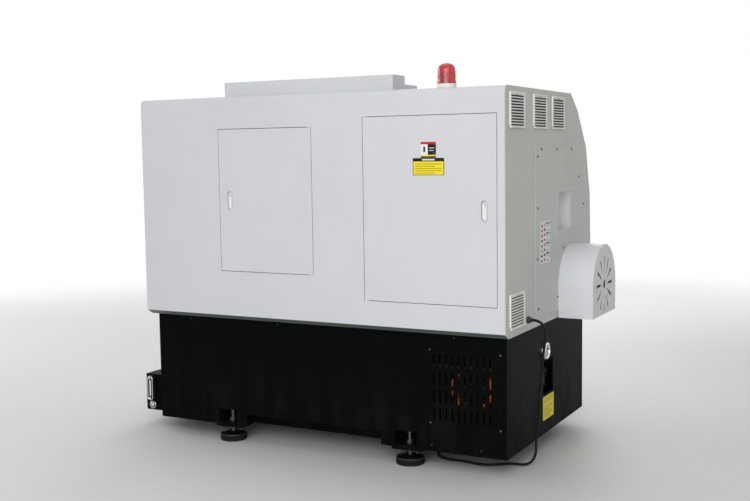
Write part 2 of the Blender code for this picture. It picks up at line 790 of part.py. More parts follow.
def build_base():
    """Make the base's walls, its deck and its floor with the foot blocks and the tank's runners."""
    inner = (grown(BASE_SPAN, -BASE_PLATE), grown((BASE_BACK_DEPTH, BASE_FRONT_DEPTH), -BASE_PLATE))
    outline = rectangle(BASE_SPAN, (BASE_BACK_DEPTH, BASE_FRONT_DEPTH))
    frame = plate("base_frame", [outline, rectangle(*inner)], (BASE_BOTTOM, BASE_RIM), BLACK_PAINT)
    deck_low = DECK_HEIGHT - DECK_THICKNESS
    partition_span = (PARTITION_U, PARTITION_U + BASE_PLATE)
    partition_depths = grown(inner[1], BASE_PLATE / 2)
    partition_heights = (BASE_BOTTOM + PARTITION_RISE, deck_low - GAP)
    join(frame, block("partition", partition_span, partition_depths, partition_heights, helper=True))
    window_span = (BASE_SPAN[0] - OVERRUN, BASE_SPAN[0] + BASE_PLATE + OVERRUN)
    window = block("window_cut", window_span, WINDOW_DEPTH, WINDOW_HEIGHT, helper=True)
    back_wall = (BASE_BACK_DEPTH - OVERRUN, BASE_BACK_DEPTH + BASE_PLATE + OVERRUN)
    opening = (grown(GRILLE_SPAN, -GRILLE_LAP), grown(GRILLE_HEIGHT, -GRILLE_LAP))
    grille = block("grille_cut", opening[0], back_wall, opening[1], helper=True)
    through = grown((BASE_BACK_DEPTH, BASE_FRONT_DEPTH), OVERRUN)
    arch_heights = (BASE_BOTTOM - OVERRUN, ARCH_HEIGHT)
    arch = block("arch_cut", (ARCH_START, ARCH_END), through, arch_heights, helper=True)
    tail_wall = (BASE_SPAN[1] - BASE_PLATE - OVERRUN, BASE_SPAN[1] + OVERRUN)
    mouth_top = TANK_BOTTOM + TANK_HEIGHT + MOUTH_CLEAR
    mouth_depths = grown(TANK_DEPTHS, MOUTH_CLEAR)
    mouth = block("mouth_cut", tail_wall, mouth_depths, (BASE_BOTTOM - OVERRUN, mouth_top), helper=True)
    cut(frame, window, grille, arch, mouth)
    for station in FOOT_STATIONS:
        span = (station - FOOT_POCKET_WIDTH / 2, station + FOOT_POCKET_WIDTH / 2)
        floor = FOOT_BLOCK_BOTTOM + FOOT_LEDGE
        pocket = block("pocket_wall_cut", span, through, (floor, floor + FOOT_POCKET_HEIGHT), helper=True)
        cut(frame, pocket)

    deck_depths = grown(inner[1], -GAP)
    slot = rectangle(grown(PULLEY_SPAN, BELT_SLOT_CLEAR), belt_slot_depths())
    chute = rectangle(chute_span(), chute_depths())
    deck_outline = rectangle(grown(inner[0], -GAP), deck_depths)
    plate("base_deck", [deck_outline, slot, chute], (deck_low, DECK_HEIGHT), BLACK_PAINT)

    floor_span = (inner[0][0] + GAP, PARTITION_U - GAP)
    floor_heights = (BASE_BOTTOM, BASE_BOTTOM + RUNNER_THICKNESS)
    floor_depths = grown(inner[1], -GAP - FLOOR_INSET)
    floor = block("base_floor", floor_span, floor_depths, floor_heights, BLACK_PAINT)
    runner_top = TANK_BOTTOM - GAP
    runner_heights = (runner_top - RUNNER_THICKNESS, runner_top)
    runner_span = (FOOT_STATIONS[0] - FOOT_BLOCK_WIDTH / 2, BASE_SPAN[1] - BASE_PLATE)
    for index, depth in enumerate(RUNNER_DEPTHS):
        name = f"runner_{index}"
        join(floor, block(name, runner_span, (depth, depth + RUNNER_WIDTH), runner_heights, helper=True))
        riser_span = (runner_span[0] + RUNNER_THICKNESS, PARTITION_U - RUNNER_WIDTH)
        riser_heights = (runner_heights[0], floor_heights[1] - RUNNER_THICKNESS / 2)
        riser_depths = (depth + RUNNER_WIDTH / 4, depth + RUNNER_WIDTH * 3 / 4)
        join(floor, block(name + "_riser", riser_span, riser_depths, riser_heights, helper=True))
    cross_heights = (runner_heights[0] + RUNNER_THICKNESS / 4, runner_heights[1] - RUNNER_THICKNESS / 4)
    cross_span = (FOOT_STATIONS[1] - FOOT_BLOCK_WIDTH / 4, FOOT_STATIONS[1] + FOOT_BLOCK_WIDTH / 4)
    cross_depths = grown(inner[1], -FOOT_BLOCK_DEPTH / 2)
    join(floor, block("cross_member", cross_span, cross_depths, cross_heights, helper=True))
    for station in FOOT_STATIONS:
        for edge, side in ((inner[1][0] + GAP, 1), (inner[1][1] - GAP, -1)):
            depths = tuple(sorted((edge, edge + side * FOOT_BLOCK_DEPTH)))
            span = (station - FOOT_BLOCK_WIDTH / 2, station + FOOT_BLOCK_WIDTH / 2)
            join(floor, block("foot_block", span, depths, (FOOT_BLOCK_BOTTOM, FOOT_BLOCK_TOP), helper=True))
    shelf_top = MOTOR_HEIGHT - MOTOR_RADIUS - MOTOR_FOOT - GAP
    shelf_heights = (shelf_top - MOTOR_SHELF, shelf_top)
    join(floor, block("motor_shelf", MOTOR_SHELF_SPAN, MOTOR_SHELF_DEPTHS, shelf_heights, helper=True))
    shelf_edges = grown(MOTOR_SHELF_DEPTHS, -SHELF_LEG_INSET)
    for edge, side in ((shelf_edges[0], 1), (shelf_edges[1], -1)):
        depths = tuple(sorted((edge, edge + side * MOTOR_SHELF)))
        leg_heights = (BASE_BOTTOM + RUNNER_THICKNESS / 2, shelf_top - MOTOR_SHELF / 2)
        leg_span = grown(MOTOR_SHELF_SPAN, -MOTOR_SHELF)
        join(floor, block("shelf_leg", leg_span, depths, leg_heights, helper=True))
    for station in FOOT_STATIONS:
        pocket_span = (station - FOOT_POCKET_WIDTH / 2, station + FOOT_POCKET_WIDTH / 2)
        ledge_top = FOOT_BLOCK_BOTTOM + FOOT_LEDGE
        heights = (ledge_top, ledge_top + FOOT_POCKET_HEIGHT)
        for edge, side in ((BASE_BACK_DEPTH, 1), (BASE_FRONT_DEPTH, -1)):
            depths = tuple(sorted((edge - side * OVERRUN, edge + side * FOOT_POCKET_DEPTH)))
            cut(floor, block("foot_pocket", pocket_span, depths, heights, helper=True))
            centre = place(station, edge + side * FOOT_EDGE_OFFSET, 0)
            hole = FOOT_BOLT_RADIUS + FOOT_HOLE_CLEAR
            cut(floor, cylinder("foot_hole", hole, 0, ledge_top + OVERRUN / 2, centre, UPWARD))


def belt_slot_depths():
    """Depths of the slot that the belt runs through in the deck."""
    reach = SPINDLE_PULLEY_RADIUS + BELT_THICKNESS + BELT_SLOT_CLEAR
    return (MOTOR_DEPTH - MOTOR_PULLEY_RADIUS - BELT_SLOT_CLEAR, SPINDLE_DEPTH + reach)


def chute_span():
    """Span of the chip chute along the row, under the doorway."""
    return grown(DOORWAY_SPAN, -DOOR_LAP)


def chute_depths():
    """Depths of the chip chute, in front of the bed's toe."""
    toe = slanted(LOWER_WAY[0], -WAY_DROP)[0]
    return (toe + CHUTE_MARGIN, BASE_FRONT_DEPTH - BASE_PLATE - CHUTE_MARGIN)


def build_feet():
    """Make the four levelling feet, each a pad with its bolt and lock nut."""
    ledge_top = FOOT_BLOCK_BOTTOM + FOOT_LEDGE
    nut_low = ledge_top + GAP
    nut_high = nut_low + FOOT_NUT_HEIGHT
    profile = [
        (0, FOOT_BOLT_TOP),
        (FOOT_BOLT_RADIUS, FOOT_BOLT_TOP),
        (FOOT_BOLT_RADIUS, nut_high),
        (FOOT_NUT_RADIUS, nut_high),
        (FOOT_NUT_RADIUS, nut_low),
        (FOOT_BOLT_RADIUS, nut_low),
        (FOOT_BOLT_RADIUS, PAD_NECK_HEIGHT),
        (PAD_NECK_RADIUS, PAD_NECK_HEIGHT),
        (PAD_NECK_RADIUS, PAD_HEIGHT),
        (PAD_RADIUS, PAD_HEIGHT),
        (PAD_RADIUS, 0),
        (0, 0),
    ]
    number = 1
    for station in FOOT_STATIONS:
        for depth in (BASE_BACK_DEPTH + FOOT_EDGE_OFFSET, BASE_FRONT_DEPTH - FOOT_EDGE_OFFSET):
            turned(f"levelling_foot_{number}", profile, place(station, depth, 0), UPWARD, DARK_STEEL)
            number += 1


def build_enclosure():
    """Make the folded sheets of the enclosure: back, roof, front and the two ends."""
    fold = arc((BACK_FOLD, ROOF_HEIGHT - BACK_FOLD), BACK_FOLD, math.pi, math.pi / 2, FOLD_STEPS)
    path = [(BASE_BACK_DEPTH - GAP, SKIRT_HEIGHT), BACK_LIP, BACK_LOW] + fold
    path.append((BACK_FOLD + ROOF_SEAM, ROOF_HEIGHT))
    back = section("back_panel", [folded_sheet(path, -SHEET, 0)], LONG_SHEET_SPAN, WHITE_PAINT)
    depths = (-OVERRUN, SHEET + OVERRUN)
    for name, span, heights, hinge_side in (
        ("service", SERVICE_SPAN, SERVICE_HEIGHT, -1),
        ("electrical", ELECTRICAL_SPAN, ELECTRICAL_HEIGHT, 1),
    ):
        cut(back, block(name + "_cut", span, depths, heights, helper=True))
        pin_u = hinge_line(span, hinge_side)
        tab_span = grown((pin_u,) * 2, HINGE_TAB_WIDTH / 2)
        for edge, way in ((heights[1], 1), (heights[0], -1)):
            door_edge = edge - way * DOOR_GAP
            near = door_edge + way * GAP
            tab_heights = tuple(sorted((near, near + way * HINGE_TAB_HEIGHT)))
            tab = block(name + "_tab", tab_span, HINGE_TAB_DEPTHS, tab_heights, helper=True)
            low, high = sorted((near + way * HINGE_TAB_HEIGHT / 2, near - way * HINGE_PIN_REACH))
            axis = place(pin_u, HINGE_PIN_DEPTH, 0)
            pin = cylinder(name + "_pin", HINGE_PIN_RADIUS, low, high, axis, UPWARD, steps=SEGMENTS // 2)
            join(back, tab, pin)

    path = [(BACK_FOLD + ROOF_SEAM + GAP, ROOF_HEIGHT), ROOF_FRONT, SHOULDER]
    path.append(toward(BROW, SHOULDER, BROW_SEAM))
    roof = section("roof_panel", [folded_sheet(path, -SHEET, 0)], LONG_SHEET_SPAN, WHITE_PAINT)
    low = toward(BROW, SHOULDER, DOOR_TOP_LAP + RUNNING_GAP)
    high = toward(BROW, SHOULDER, DOOR_TOP_LAP + RUNNING_GAP + TRACK_THICKNESS)
    track = folded_sheet([high, low], -SHEET / 2, TRACK_REACH)
    track_span = grown(LONG_SHEET_SPAN, -TRACK_MARGIN)
    join(roof, section("top_track", [track], track_span, helper=True))
    hood_span = grown(ROOF_COVER_SPAN, -ROOF_COVER_LAP)
    hood_depths = grown(ROOF_COVER_DEPTHS, -ROOF_COVER_LAP)
    hood_heights = grown((ROOF_HEIGHT - SHEET, ROOF_HEIGHT), OVERRUN)
    cut(roof, block("hood_cut", hood_span, hood_depths, hood_heights, helper=True))

    path = [toward(BROW, CHEST, BROW_SEAM), CHEST, BELLY, FRONT_LOW, FRONT_LIP]
    path.append((BASE_FRONT_DEPTH + GAP, SKIRT_HEIGHT))
    front = section("front_panel", [folded_sheet(path, -SHEET, 0)], LONG_SHEET_SPAN, WHITE_PAINT)
    depths = (BROW_DEPTH - OVERRUN, BELLY_DEPTH + OVERRUN)
    heights = (DOORWAY_BOTTOM, BROW_HEIGHT + OVERRUN)
    cut(front, block("doorway_cut", DOORWAY_SPAN, depths, heights, helper=True))
    depths = (BELLY_DEPTH - SHEET / 2, BELLY_DEPTH + TRACK_REACH)
    heights = (TRACK_HEIGHT, TRACK_HEIGHT + TRACK_THICKNESS)
    join(front, block("bottom_track", track_span, depths, heights, helper=True))

    vents = [vent_outline(place_, -VENT_RIM) for place_ in VENT_PLACES]
    gland = circle((GLAND_DEPTH, GLAND_HEIGHT), CABLE_RADIUS + GAP, SEGMENTS // 2)
    access = offset_path(cover_outline() + [cover_outline()[0]], -COVER_LAP)[:-1]
    access[0] = (COVER_BACK_DEPTH + COVER_LAP, COVER_BOTTOM + COVER_LAP)
    section("head_end_panel", [envelope(), access, gland] + vents, (0, SHEET), WHITE_PAINT)
    tail_span = (ENCLOSURE_LENGTH - SHEET, ENCLOSURE_LENGTH)
    section("tail_end_panel", [envelope()], tail_span, WHITE_PAINT)


def vent_outline(centre, margin):
    """Outline of a louvre plate grown by a margin."""
    half_width = VENT_WIDTH / 2 + margin
    half_height = VENT_HEIGHT / 2 + margin
    depths = (centre[0] - half_width, centre[0] + half_width)
    heights = (centre[1] - half_height, centre[1] + half_height)
    return rectangle(depths, heights)


def cover_outline():
    """Outline of the bolted cover plate, listed up its back edge and down its front edge."""
    return [
        (COVER_BACK_DEPTH, COVER_BOTTOM),
        (COVER_BACK_DEPTH, COVER_TOP),
        (COVER_FRONT_TOP, COVER_TOP),
        COVER_FRONT_UPPER,
        COVER_FRONT_LOWER,
        (COVER_FRONT_DEPTH, COVER_FRONT_HEIGHT),
        (COVER_FRONT_DEPTH, COVER_BOTTOM),
    ]


def build_end_details():
    """Make the bolted cover with its pocket, the louvre plates and the arched guard."""
    spindle_hole = circle((SPINDLE_DEPTH, SPINDLE_HEIGHT), COVER_HOLE_RADIUS, SEGMENTS)
    span = (-SHEET - GAP, -GAP)
    pocket_hole = rectangle(POCKET_DEPTH_SPAN, POCKET_HEIGHT_SPAN)
    cover = section("end_cover", [cover_outline(), spindle_hole, pocket_hole], span, WHITE_PAINT)
    depths = grown(POCKET_DEPTH_SPAN, POCKET_WALL)
    heights = grown(POCKET_HEIGHT_SPAN, POCKET_WALL)
    tray = block("pocket_tray", (-SHEET / 2, POCKET_DEPTH), depths, heights, helper=True)
    frame_span = (-SHEET - GAP - POCKET_WALL, -SHEET / 2)
    frame_depths = grown(POCKET_DEPTH_SPAN, POCKET_FRAME)
    frame_heights = grown(POCKET_HEIGHT_SPAN, POCKET_FRAME)
    frame = block("pocket_frame", frame_span, frame_depths, frame_heights, helper=True)
    hollow_span = (-OVERRUN, POCKET_DEPTH - POCKET_WALL)
    hollow = block("pocket_hollow", hollow_span, POCKET_DEPTH_SPAN, POCKET_HEIGHT_SPAN, helper=True)
    join(cover, tray, frame)
    cut(cover, hollow)

    slot_pitch = (VENT_HEIGHT - VENT_RIM - VENT_RIM) / VENT_SLOTS
    slot_height = slot_pitch * VENT_SLOT_SHARE
    for number, centre in enumerate(VENT_PLACES, start=1):
        outlines = [vent_outline(centre, 0)]
        depths = (centre[0] - VENT_WIDTH / 2 + VENT_RIM, centre[0] + VENT_WIDTH / 2 - VENT_RIM)
        first = centre[1] - slot_pitch * (VENT_SLOTS - 1) / 2
        for row in range(VENT_SLOTS):
            height = first + slot_pitch * row
            outlines.append(rectangle(depths, (height - slot_height / 2, height + slot_height / 2)))
        section(f"vent_louvre_{number}", outlines, (-VENT_THICKNESS - GAP, -GAP), CREAM_PLASTIC)

    centre = (SPINDLE_DEPTH, SPINDLE_HEIGHT)
    start = -SHEET - GAP - GAP
    outer = guard_outline(GUARD_RADIUS, GUARD_BOTTOM)
    guard = section("spindle_guard", [outer], (-GUARD_REACH, start), WHITE_PAINT)
    inside = guard_outline(GUARD_RADIUS - GUARD_SHEET, GUARD_BOTTOM + GUARD_SHEET)
    hollow_span = (-GUARD_REACH + GUARD_SHEET, OVERRUN)
    cut(guard, section("guard_hollow", [inside], hollow_span, helper=True))
    cutter_span = (-GUARD_REACH - OVERRUN, -GUARD_REACH + GUARD_SHEET + OVERRUN / 2)
    holes = [circle(centre, GUARD_HOLE_RADIUS, SEGMENTS)]
    cut(guard, section("guard_hole", holes, cutter_span, helper=True))
    turn = math.tau / GUARD_SLOTS
    for index in range(GUARD_SLOTS):
        wedge = [guard_wedge(centre, turn * index)]
        cut(guard, section("guard_slot", wedge, cutter_span, helper=True))


def guard_outline(radius, bottom):
    """Arched outline of the guard: a half circle on straight sides."""
    centre = (SPINDLE_DEPTH, SPINDLE_HEIGHT)
    crown = arc(centre, radius, 0, math.pi, GUARD_SEGMENTS)
    return crown + [(SPINDLE_DEPTH - radius, bottom), (SPINDLE_DEPTH + radius, bottom)]


def guard_wedge(centre, angle):
    """Outline of one radial slot, wider at its outer end."""
    out = Vector((math.cos(angle), math.sin(angle)))
    side = Vector((-out.y, out.x))
    start = Vector(centre) + out * GUARD_SLOT_INNER
    end = Vector(centre) + out * GUARD_SLOT_OUTER
    return [
        tuple(start - side * GUARD_SLOT_NARROW / 2),
        tuple(end - side * GUARD_SLOT_WIDE / 2),
        tuple(end + side * GUARD_SLOT_WIDE / 2),
        tuple(start + side * GUARD_SLOT_NARROW / 2),
    ]


def build_roof_pieces():
    """Make the raised roof cover and the warning lamp with its turning reflector."""
    foot = ROOF_HEIGHT + GAP
    top = ROOF_HEIGHT + ROOF_COVER_HEIGHT
    step = ROOF_HEIGHT + ROOF_FLANGE_HEIGHT
    back, front = ROOF_COVER_DEPTHS
    path = [(back, foot), (back, top), (front, top), (front, step), (ROOF_COVER_FLANGE_DEPTH, step)]
    path.append((ROOF_COVER_FLANGE_DEPTH, foot))
    cover = section("roof_cover", [path], ROOF_COVER_SPAN, WHITE_PAINT)
    inner = [(back + SHEET, foot - OVERRUN), (back + SHEET, top - SHEET), (front - SHEET, top - SHEET)]
    inner += [(front - SHEET, step - SHEET), (ROOF_COVER_FLANGE_DEPTH - SHEET, step - SHEET)]
    inner.append((ROOF_COVER_FLANGE_DEPTH - SHEET, foot - OVERRUN))
    cut(cover, section("roof_cover_hollow", [inner], grown(ROOF_COVER_SPAN, -SHEET), helper=True))

    seat = place(LAMP_U, LAMP_V, ROOF_HEIGHT + GAP)
    base = [
        (0, LAMP_BASE_HEIGHT + BULB_HEIGHT),
        (BULB_RADIUS, LAMP_BASE_HEIGHT + BULB_HEIGHT - BULB_RADIUS),
        (BULB_RADIUS, LAMP_BASE_HEIGHT),
        (LAMP_RADIUS, LAMP_BASE_HEIGHT),
        (LAMP_RADIUS, 0),
        (0, 0),
    ]
    turned("lamp_base", base, seat, UPWARD, CREAM_PLASTIC)
    low = LAMP_BASE_HEIGHT + GAP
    high = LAMP_BASE_HEIGHT + LAMP_DOME_HEIGHT
    outer = arc((LAMP_RADIUS - LAMP_CROWN, high - LAMP_CROWN), LAMP_CROWN, math.pi / 2, 0, FOLD_STEPS)
    radius = LAMP_CROWN - LAMP_WALL
    inner = arc((LAMP_RADIUS - LAMP_CROWN, high - LAMP_CROWN), radius, 0, math.pi / 2, FOLD_STEPS)
    dome = [(0, high)] + outer + [(LAMP_RADIUS, low), (LAMP_RADIUS - LAMP_WALL, low)]
    dome += inner + [(0, high - LAMP_WALL)]
    turned("lamp_dome", dome, seat, UPWARD, RED_PLASTIC)
    centre = (LAMP_U, LAMP_V)
    rotor_foot = ROOF_HEIGHT + GAP + LAMP_BASE_HEIGHT + GAP
    heights = (rotor_foot, rotor_foot + REFLECTOR_WALL)
    ring = [circle(centre, REFLECTOR_RADIUS, SEGMENTS), circle(centre, BULB_RADIUS + RUNNING_GAP, SEGMENTS)]
    rotor = plate("lamp_reflector", ring, heights, CHROME)
    half = REFLECTOR_HALF_TURN
    band = arc(centre, REFLECTOR_RADIUS, -half, half, SEGMENTS // 2)
    band += arc(centre, REFLECTOR_RADIUS - REFLECTOR_WALL, half, -half, SEGMENTS // 2)
    bowl_heights = (heights[0] + REFLECTOR_WALL / 2, heights[0] + REFLECTOR_HEIGHT)
    join(rotor, plate("reflector_bowl", [band], bowl_heights, helper=True))
    pivot("lamp_turn", seat, rotor)


def hinge_line(span, hinge_side):
    """Place along the row of a back door's hinge pins; hinge_side is 1 at the tail side of the opening."""
    edge = span[1] if hinge_side > 0 else span[0]
    return edge - hinge_side * (DOOR_GAP + HINGE_PIN_INSET)


def build_back_door(name, latch, span, heights, hinge_side):
    """Make a flush pan door of the back panel with its recessed latch; hinge_side is 1 at the tail side."""
    door_span = grown(span, -DOOR_GAP)
    door_heights = grown(heights, -DOOR_GAP)
    door = block(name, door_span, (0, DOOR_RETURN), door_heights, WHITE_PAINT)
    pan_depths = (DOOR_SHEET, DOOR_RETURN + OVERRUN)
    pan_heights = grown(door_heights, -DOOR_SHEET)
    cut(door, block(name + "_pan", grown(door_span, -DOOR_SHEET), pan_depths, pan_heights, helper=True))
    pin_u = hinge_line(span, hinge_side)
    hole_heights = grown(door_heights, OVERRUN)
    hole_axis = place(pin_u, HINGE_PIN_DEPTH, 0)
    hole = HINGE_PIN_RADIUS + GAP
    cut(door, cylinder(name + "_holes", hole, *hole_heights, hole_axis, UPWARD, steps=SEGMENTS // 2))
    free_edge = span[0] if hinge_side > 0 else span[1]
    latch_u = free_edge + hinge_side * LATCH_INSET
    middle_height = middle(heights)
    centre = (latch_u, middle_height)
    outer = oblong(centre, LATCH_WIDTH / 2, LATCH_LENGTH / 2)
    inner = oblong(centre, LATCH_WIDTH / 2 - LATCH_RIM, LATCH_LENGTH / 2 - LATCH_RIM)
    join(door, wall(name + "_cup", [outer], (-LATCH_PROUD, LATCH_CUP_DEPTH), helper=True))
    cut(door, wall(name + "_recess", [inner], (-OVERRUN, LATCH_CUP_DEPTH - LATCH_FLOOR), helper=True))
    pivot(name + "_hinge", place(pin_u, HINGE_PIN_DEPTH, middle_height), door)

    half_width = LATCH_WIDTH / 2 - LATCH_RIM - LEVER_SIDE_CLEAR
    half_length = LATCH_LENGTH / 2 - LATCH_RIM - LEVER_END_CLEAR
    seat = LATCH_CUP_DEPTH - LATCH_FLOOR - GAP
    lever_outline = oblong(centre, half_width, half_length)
    lever = wall(latch, [lever_outline], (seat - LEVER_THICKNESS, seat), CREAM_PLASTIC)
    pivot(latch + "_hinge", place(latch_u, seat, middle_height - half_length), lever)


def oblong(centre, half_width, half_length):
    """Outline of an upright slot with round ends."""
    top = (centre[0], centre[1] + half_length - half_width)
    bottom = (centre[0], centre[1] - half_length + half_width)
    upper = arc(top, half_width, 0, math.pi, LATCH_CORNERS)
    lower = arc(bottom, half_width, math.pi, math.tau, LATCH_CORNERS)
    return upper + lower


def build_cabinet():
    """Make the electrical cabinet's tray and the rack of drives inside it."""
    span = grown(ELECTRICAL_SPAN, CABINET_MARGIN)
    heights = grown(ELECTRICAL_HEIGHT, CABINET_MARGIN)
    depths = (SHEET + GAP, CABINET_DEPTH)
    tray = block("electrical_cabinet", span, depths, heights, WHITE_PAINT)
    hollow_depths = (-OVERRUN, CABINET_DEPTH - CABINET_SHEET)
    hollow_heights = grown(heights, -CABINET_SHEET)
    hollow_span = grown(span, -CABINET_SHEET)
    cut(tray, block("cabinet_hollow", hollow_span, hollow_depths, hollow_heights, helper=True))
    rack_span = grown(span, -RACK_MARGIN)
    rack_heights = grown(heights, -RACK_MARGIN)
    back = CABINET_DEPTH - CABINET_SHEET - GAP
    rack = block("drive_rack", rack_span, (back - RACK_THICKNESS, back), rack_heights, GREY_PLASTIC)
    left = rack_span[0] + DRIVE_START[0]
    low = rack_heights[0] + DRIVE_START[1]
    for index, (width, height) in enumerate(DRIVE_SIZES):
        depths = (back - RACK_THICKNESS - DRIVE_DEPTH, back - DRIVE_SINK)
        join(rack, block(f"drive_{index}", (left, left + width), depths, (low, low + height), helper=True))
        left += width + DRIVE_SPACE


def build_headstock():
    """Make the headstock, the spindle with its pulley and rear cylinder, the chuck and the jaws."""
    low, high = HEADSTOCK_SLOPE
    drop = -WAY_DROP + GAP
    outline = [(low, drop), (high, drop), (high, HEADSTOCK_RISE - HEADSTOCK_CHAMFER * 2)]
    outline += [(high - HEADSTOCK_CHAMFER * 2, HEADSTOCK_RISE), (low + HEADSTOCK_CHAMFER, HEADSTOCK_RISE)]
    outline += [(low, HEADSTOCK_RISE - HEADSTOCK_CHAMFER)]
    head = section("headstock", [[slanted(*point) for point in outline]], HEADSTOCK_SPAN, GREY_CASTING)
    line = place(0, SPINDLE_DEPTH, SPINDLE_HEIGHT)
    bore = SPINDLE_RADIUS + BEARING_CLEARANCE
    cut(head, cylinder("spindle_bore", bore, 0, HEADSTOCK_SPAN[1] + OVERRUN, line, ROW, steps=SEGMENTS * 2))

    nose_start = HEADSTOCK_SPAN[1] + RUNNING_GAP
    nose_end = nose_start + NOSE_LENGTH
    rim = SPINDLE_PULLEY_RADIUS + PULLEY_RIM
    outer = [
        (NOSE_RADIUS, nose_end),
        (NOSE_RADIUS, nose_start),
        (SPINDLE_RADIUS, nose_start),
        (SPINDLE_RADIUS, PULLEY_SPAN[1]),
        (rim, PULLEY_SPAN[1]),
        (rim, PULLEY_SPAN[1] - PULLEY_RIM),
        (SPINDLE_PULLEY_RADIUS, PULLEY_SPAN[1] - PULLEY_RIM),
        (SPINDLE_PULLEY_RADIUS, PULLEY_SPAN[0] + PULLEY_RIM),
        (rim, PULLEY_SPAN[0] + PULLEY_RIM),
        (rim, PULLEY_SPAN[0]),
        (SPINDLE_RADIUS, PULLEY_SPAN[0]),
        (SPINDLE_RADIUS, CYLINDER_SPAN[1]),
        (CYLINDER_RADIUS, CYLINDER_SPAN[1]),
        (CYLINDER_RADIUS, CYLINDER_SPAN[0]),
    ]
    spindle = turned("spindle", bored(outer, SPINDLE_BORE), line, ROW, GROUND_STEEL, closed=True)

    chuck_start = nose_end + GAP
    chuck_end = chuck_start + CHUCK_LENGTH
    edge = PULLEY_RIM
    body = [(CHUCK_RADIUS - edge, chuck_end), (CHUCK_RADIUS, chuck_end - edge), (CHUCK_RADIUS, chuck_start)]
    ring = bored(body, SPINDLE_BORE)
    chuck = turned("chuck", ring, line, ROW, GROUND_STEEL, closed=True, steps=CHUCK_SEGMENTS)
    jaws = []
    for index in range(JAW_COUNT):
        angle = math.tau * index / JAW_COUNT + math.pi / 2
        out = Vector((0, -math.cos(angle), math.sin(angle)))
        side = Vector(ROW).cross(out)
        frame = Matrix((Vector(ROW), out, side)).transposed()
        reach = CHUCK_RADIUS + OVERRUN - SPINDLE_BORE
        centre = line + Vector(ROW) * chuck_end + out * (SPINDLE_BORE + reach / 2)
        groove_width = JAW_WIDTH + RUNNING_GAP
        groove_size = (JAW_ROOT * 2, reach, groove_width)
        cut(chuck, blocks(f"jaw_groove_{index}", [(centre, frame, groove_size)], helper=True))
        foot = -JAW_ROOT + GAP
        step_out = JAW_INNER + JAW_LENGTH * JAW_STEP_SHARE
        step_up = JAW_HEIGHT * JAW_STEP_HEIGHT_SHARE
        outline = [
            (foot, JAW_INNER),
            (JAW_HEIGHT, JAW_INNER),
            (JAW_HEIGHT, step_out),
            (step_up, step_out),
            (step_up, JAW_INNER + JAW_LENGTH),
            (foot, JAW_INNER + JAW_LENGTH),
        ]
        origin = line + Vector(ROW) * chuck_end
        jaw_frame = Matrix.Translation(origin) @ frame.to_4x4()
        half = JAW_WIDTH / 2
        jaw = flat_piece(f"chuck_jaw_{index + 1}", [outline], -half, half, jaw_frame, DARK_STEEL)
        jaws.append(jaw)
        pivot(f"jaw_{index + 1}_slide", origin, jaw)
    pivot("spindle_turn", line, spindle, chuck)


def build_drive():
    """Make the spindle motor, its pulley and the belt up to the spindle."""
    line = place(0, MOTOR_DEPTH, MOTOR_HEIGHT)
    start, end = MOTOR_SPAN
    flange = MOTOR_RADIUS - MOTOR_FLANGE_EXTRA
    profile = [
        (0, end),
        (flange, end),
        (flange, end - MOTOR_FLANGE),
        (MOTOR_RADIUS, end - MOTOR_FLANGE),
        (MOTOR_RADIUS, start + MOTOR_FLANGE),
        (flange, start + MOTOR_FLANGE),
        (flange, start),
        (0, start),
    ]
    motor = turned("spindle_motor", profile, line, ROW, DARK_STEEL)
    foot_span = grown(MOTOR_SPAN, -MOTOR_FLANGE * 2)
    foot_depths = grown((MOTOR_DEPTH,) * 2, MOTOR_RADIUS * MOTOR_FOOT_SHARE)
    foot_bottom = MOTOR_HEIGHT - MOTOR_RADIUS - MOTOR_FOOT
    foot_heights = (foot_bottom, foot_bottom + MOTOR_RADIUS * MOTOR_FOOT_SHARE)
    join(motor, block("motor_foot", foot_span, foot_depths, foot_heights, helper=True))
    rim = MOTOR_PULLEY_RADIUS + PULLEY_RIM
    pulley = [
        (0, start - GAP),
        (MOTOR_SHAFT_RADIUS, start - GAP),
        (MOTOR_SHAFT_RADIUS, PULLEY_SPAN[1]),
        (rim, PULLEY_SPAN[1]),
        (rim, PULLEY_SPAN[1] - PULLEY_RIM),
        (MOTOR_PULLEY_RADIUS, PULLEY_SPAN[1] - PULLEY_RIM),
        (MOTOR_PULLEY_RADIUS, PULLEY_SPAN[0] + PULLEY_RIM),
        (rim, PULLEY_SPAN[0] + PULLEY_RIM),
        (rim, PULLEY_SPAN[0]),
        (0, PULLEY_SPAN[0]),
    ]
    wheel = turned("motor_pulley", pulley, line, ROW, GROUND_STEEL)
    pivot("motor_turn", line, wheel)

    clear = math.cos(math.pi / SEGMENTS)
    upper = (SPINDLE_PULLEY_RADIUS + GAP) / clear
    lower = (MOTOR_PULLEY_RADIUS + GAP) / clear
    loops = [belt_loop(upper + BELT_THICKNESS, lower + BELT_THICKNESS), belt_loop(upper, lower)]
    belt_span = grown((middle(PULLEY_SPAN),) * 2, BELT_WIDTH / 2)
    section("drive_belt", loops, belt_span, BLACK_RUBBER)


def belt_loop(upper, lower):
    """Closed loop around both pulleys: two arcs joined by the outer tangents."""
    top = Vector((SPINDLE_DEPTH, SPINDLE_HEIGHT))
    bottom = Vector((MOTOR_DEPTH, MOTOR_HEIGHT))
    line = top - bottom
    lean = math.atan2(line.y, line.x)
    wrap = math.acos((upper - lower) / line.length)
    steps = SEGMENTS // 2
    high = arc(tuple(top), upper, lean - wrap, lean + wrap, steps)
    low = arc(tuple(bottom), lower, lean + wrap, lean + math.tau - wrap, steps)
    return high + low


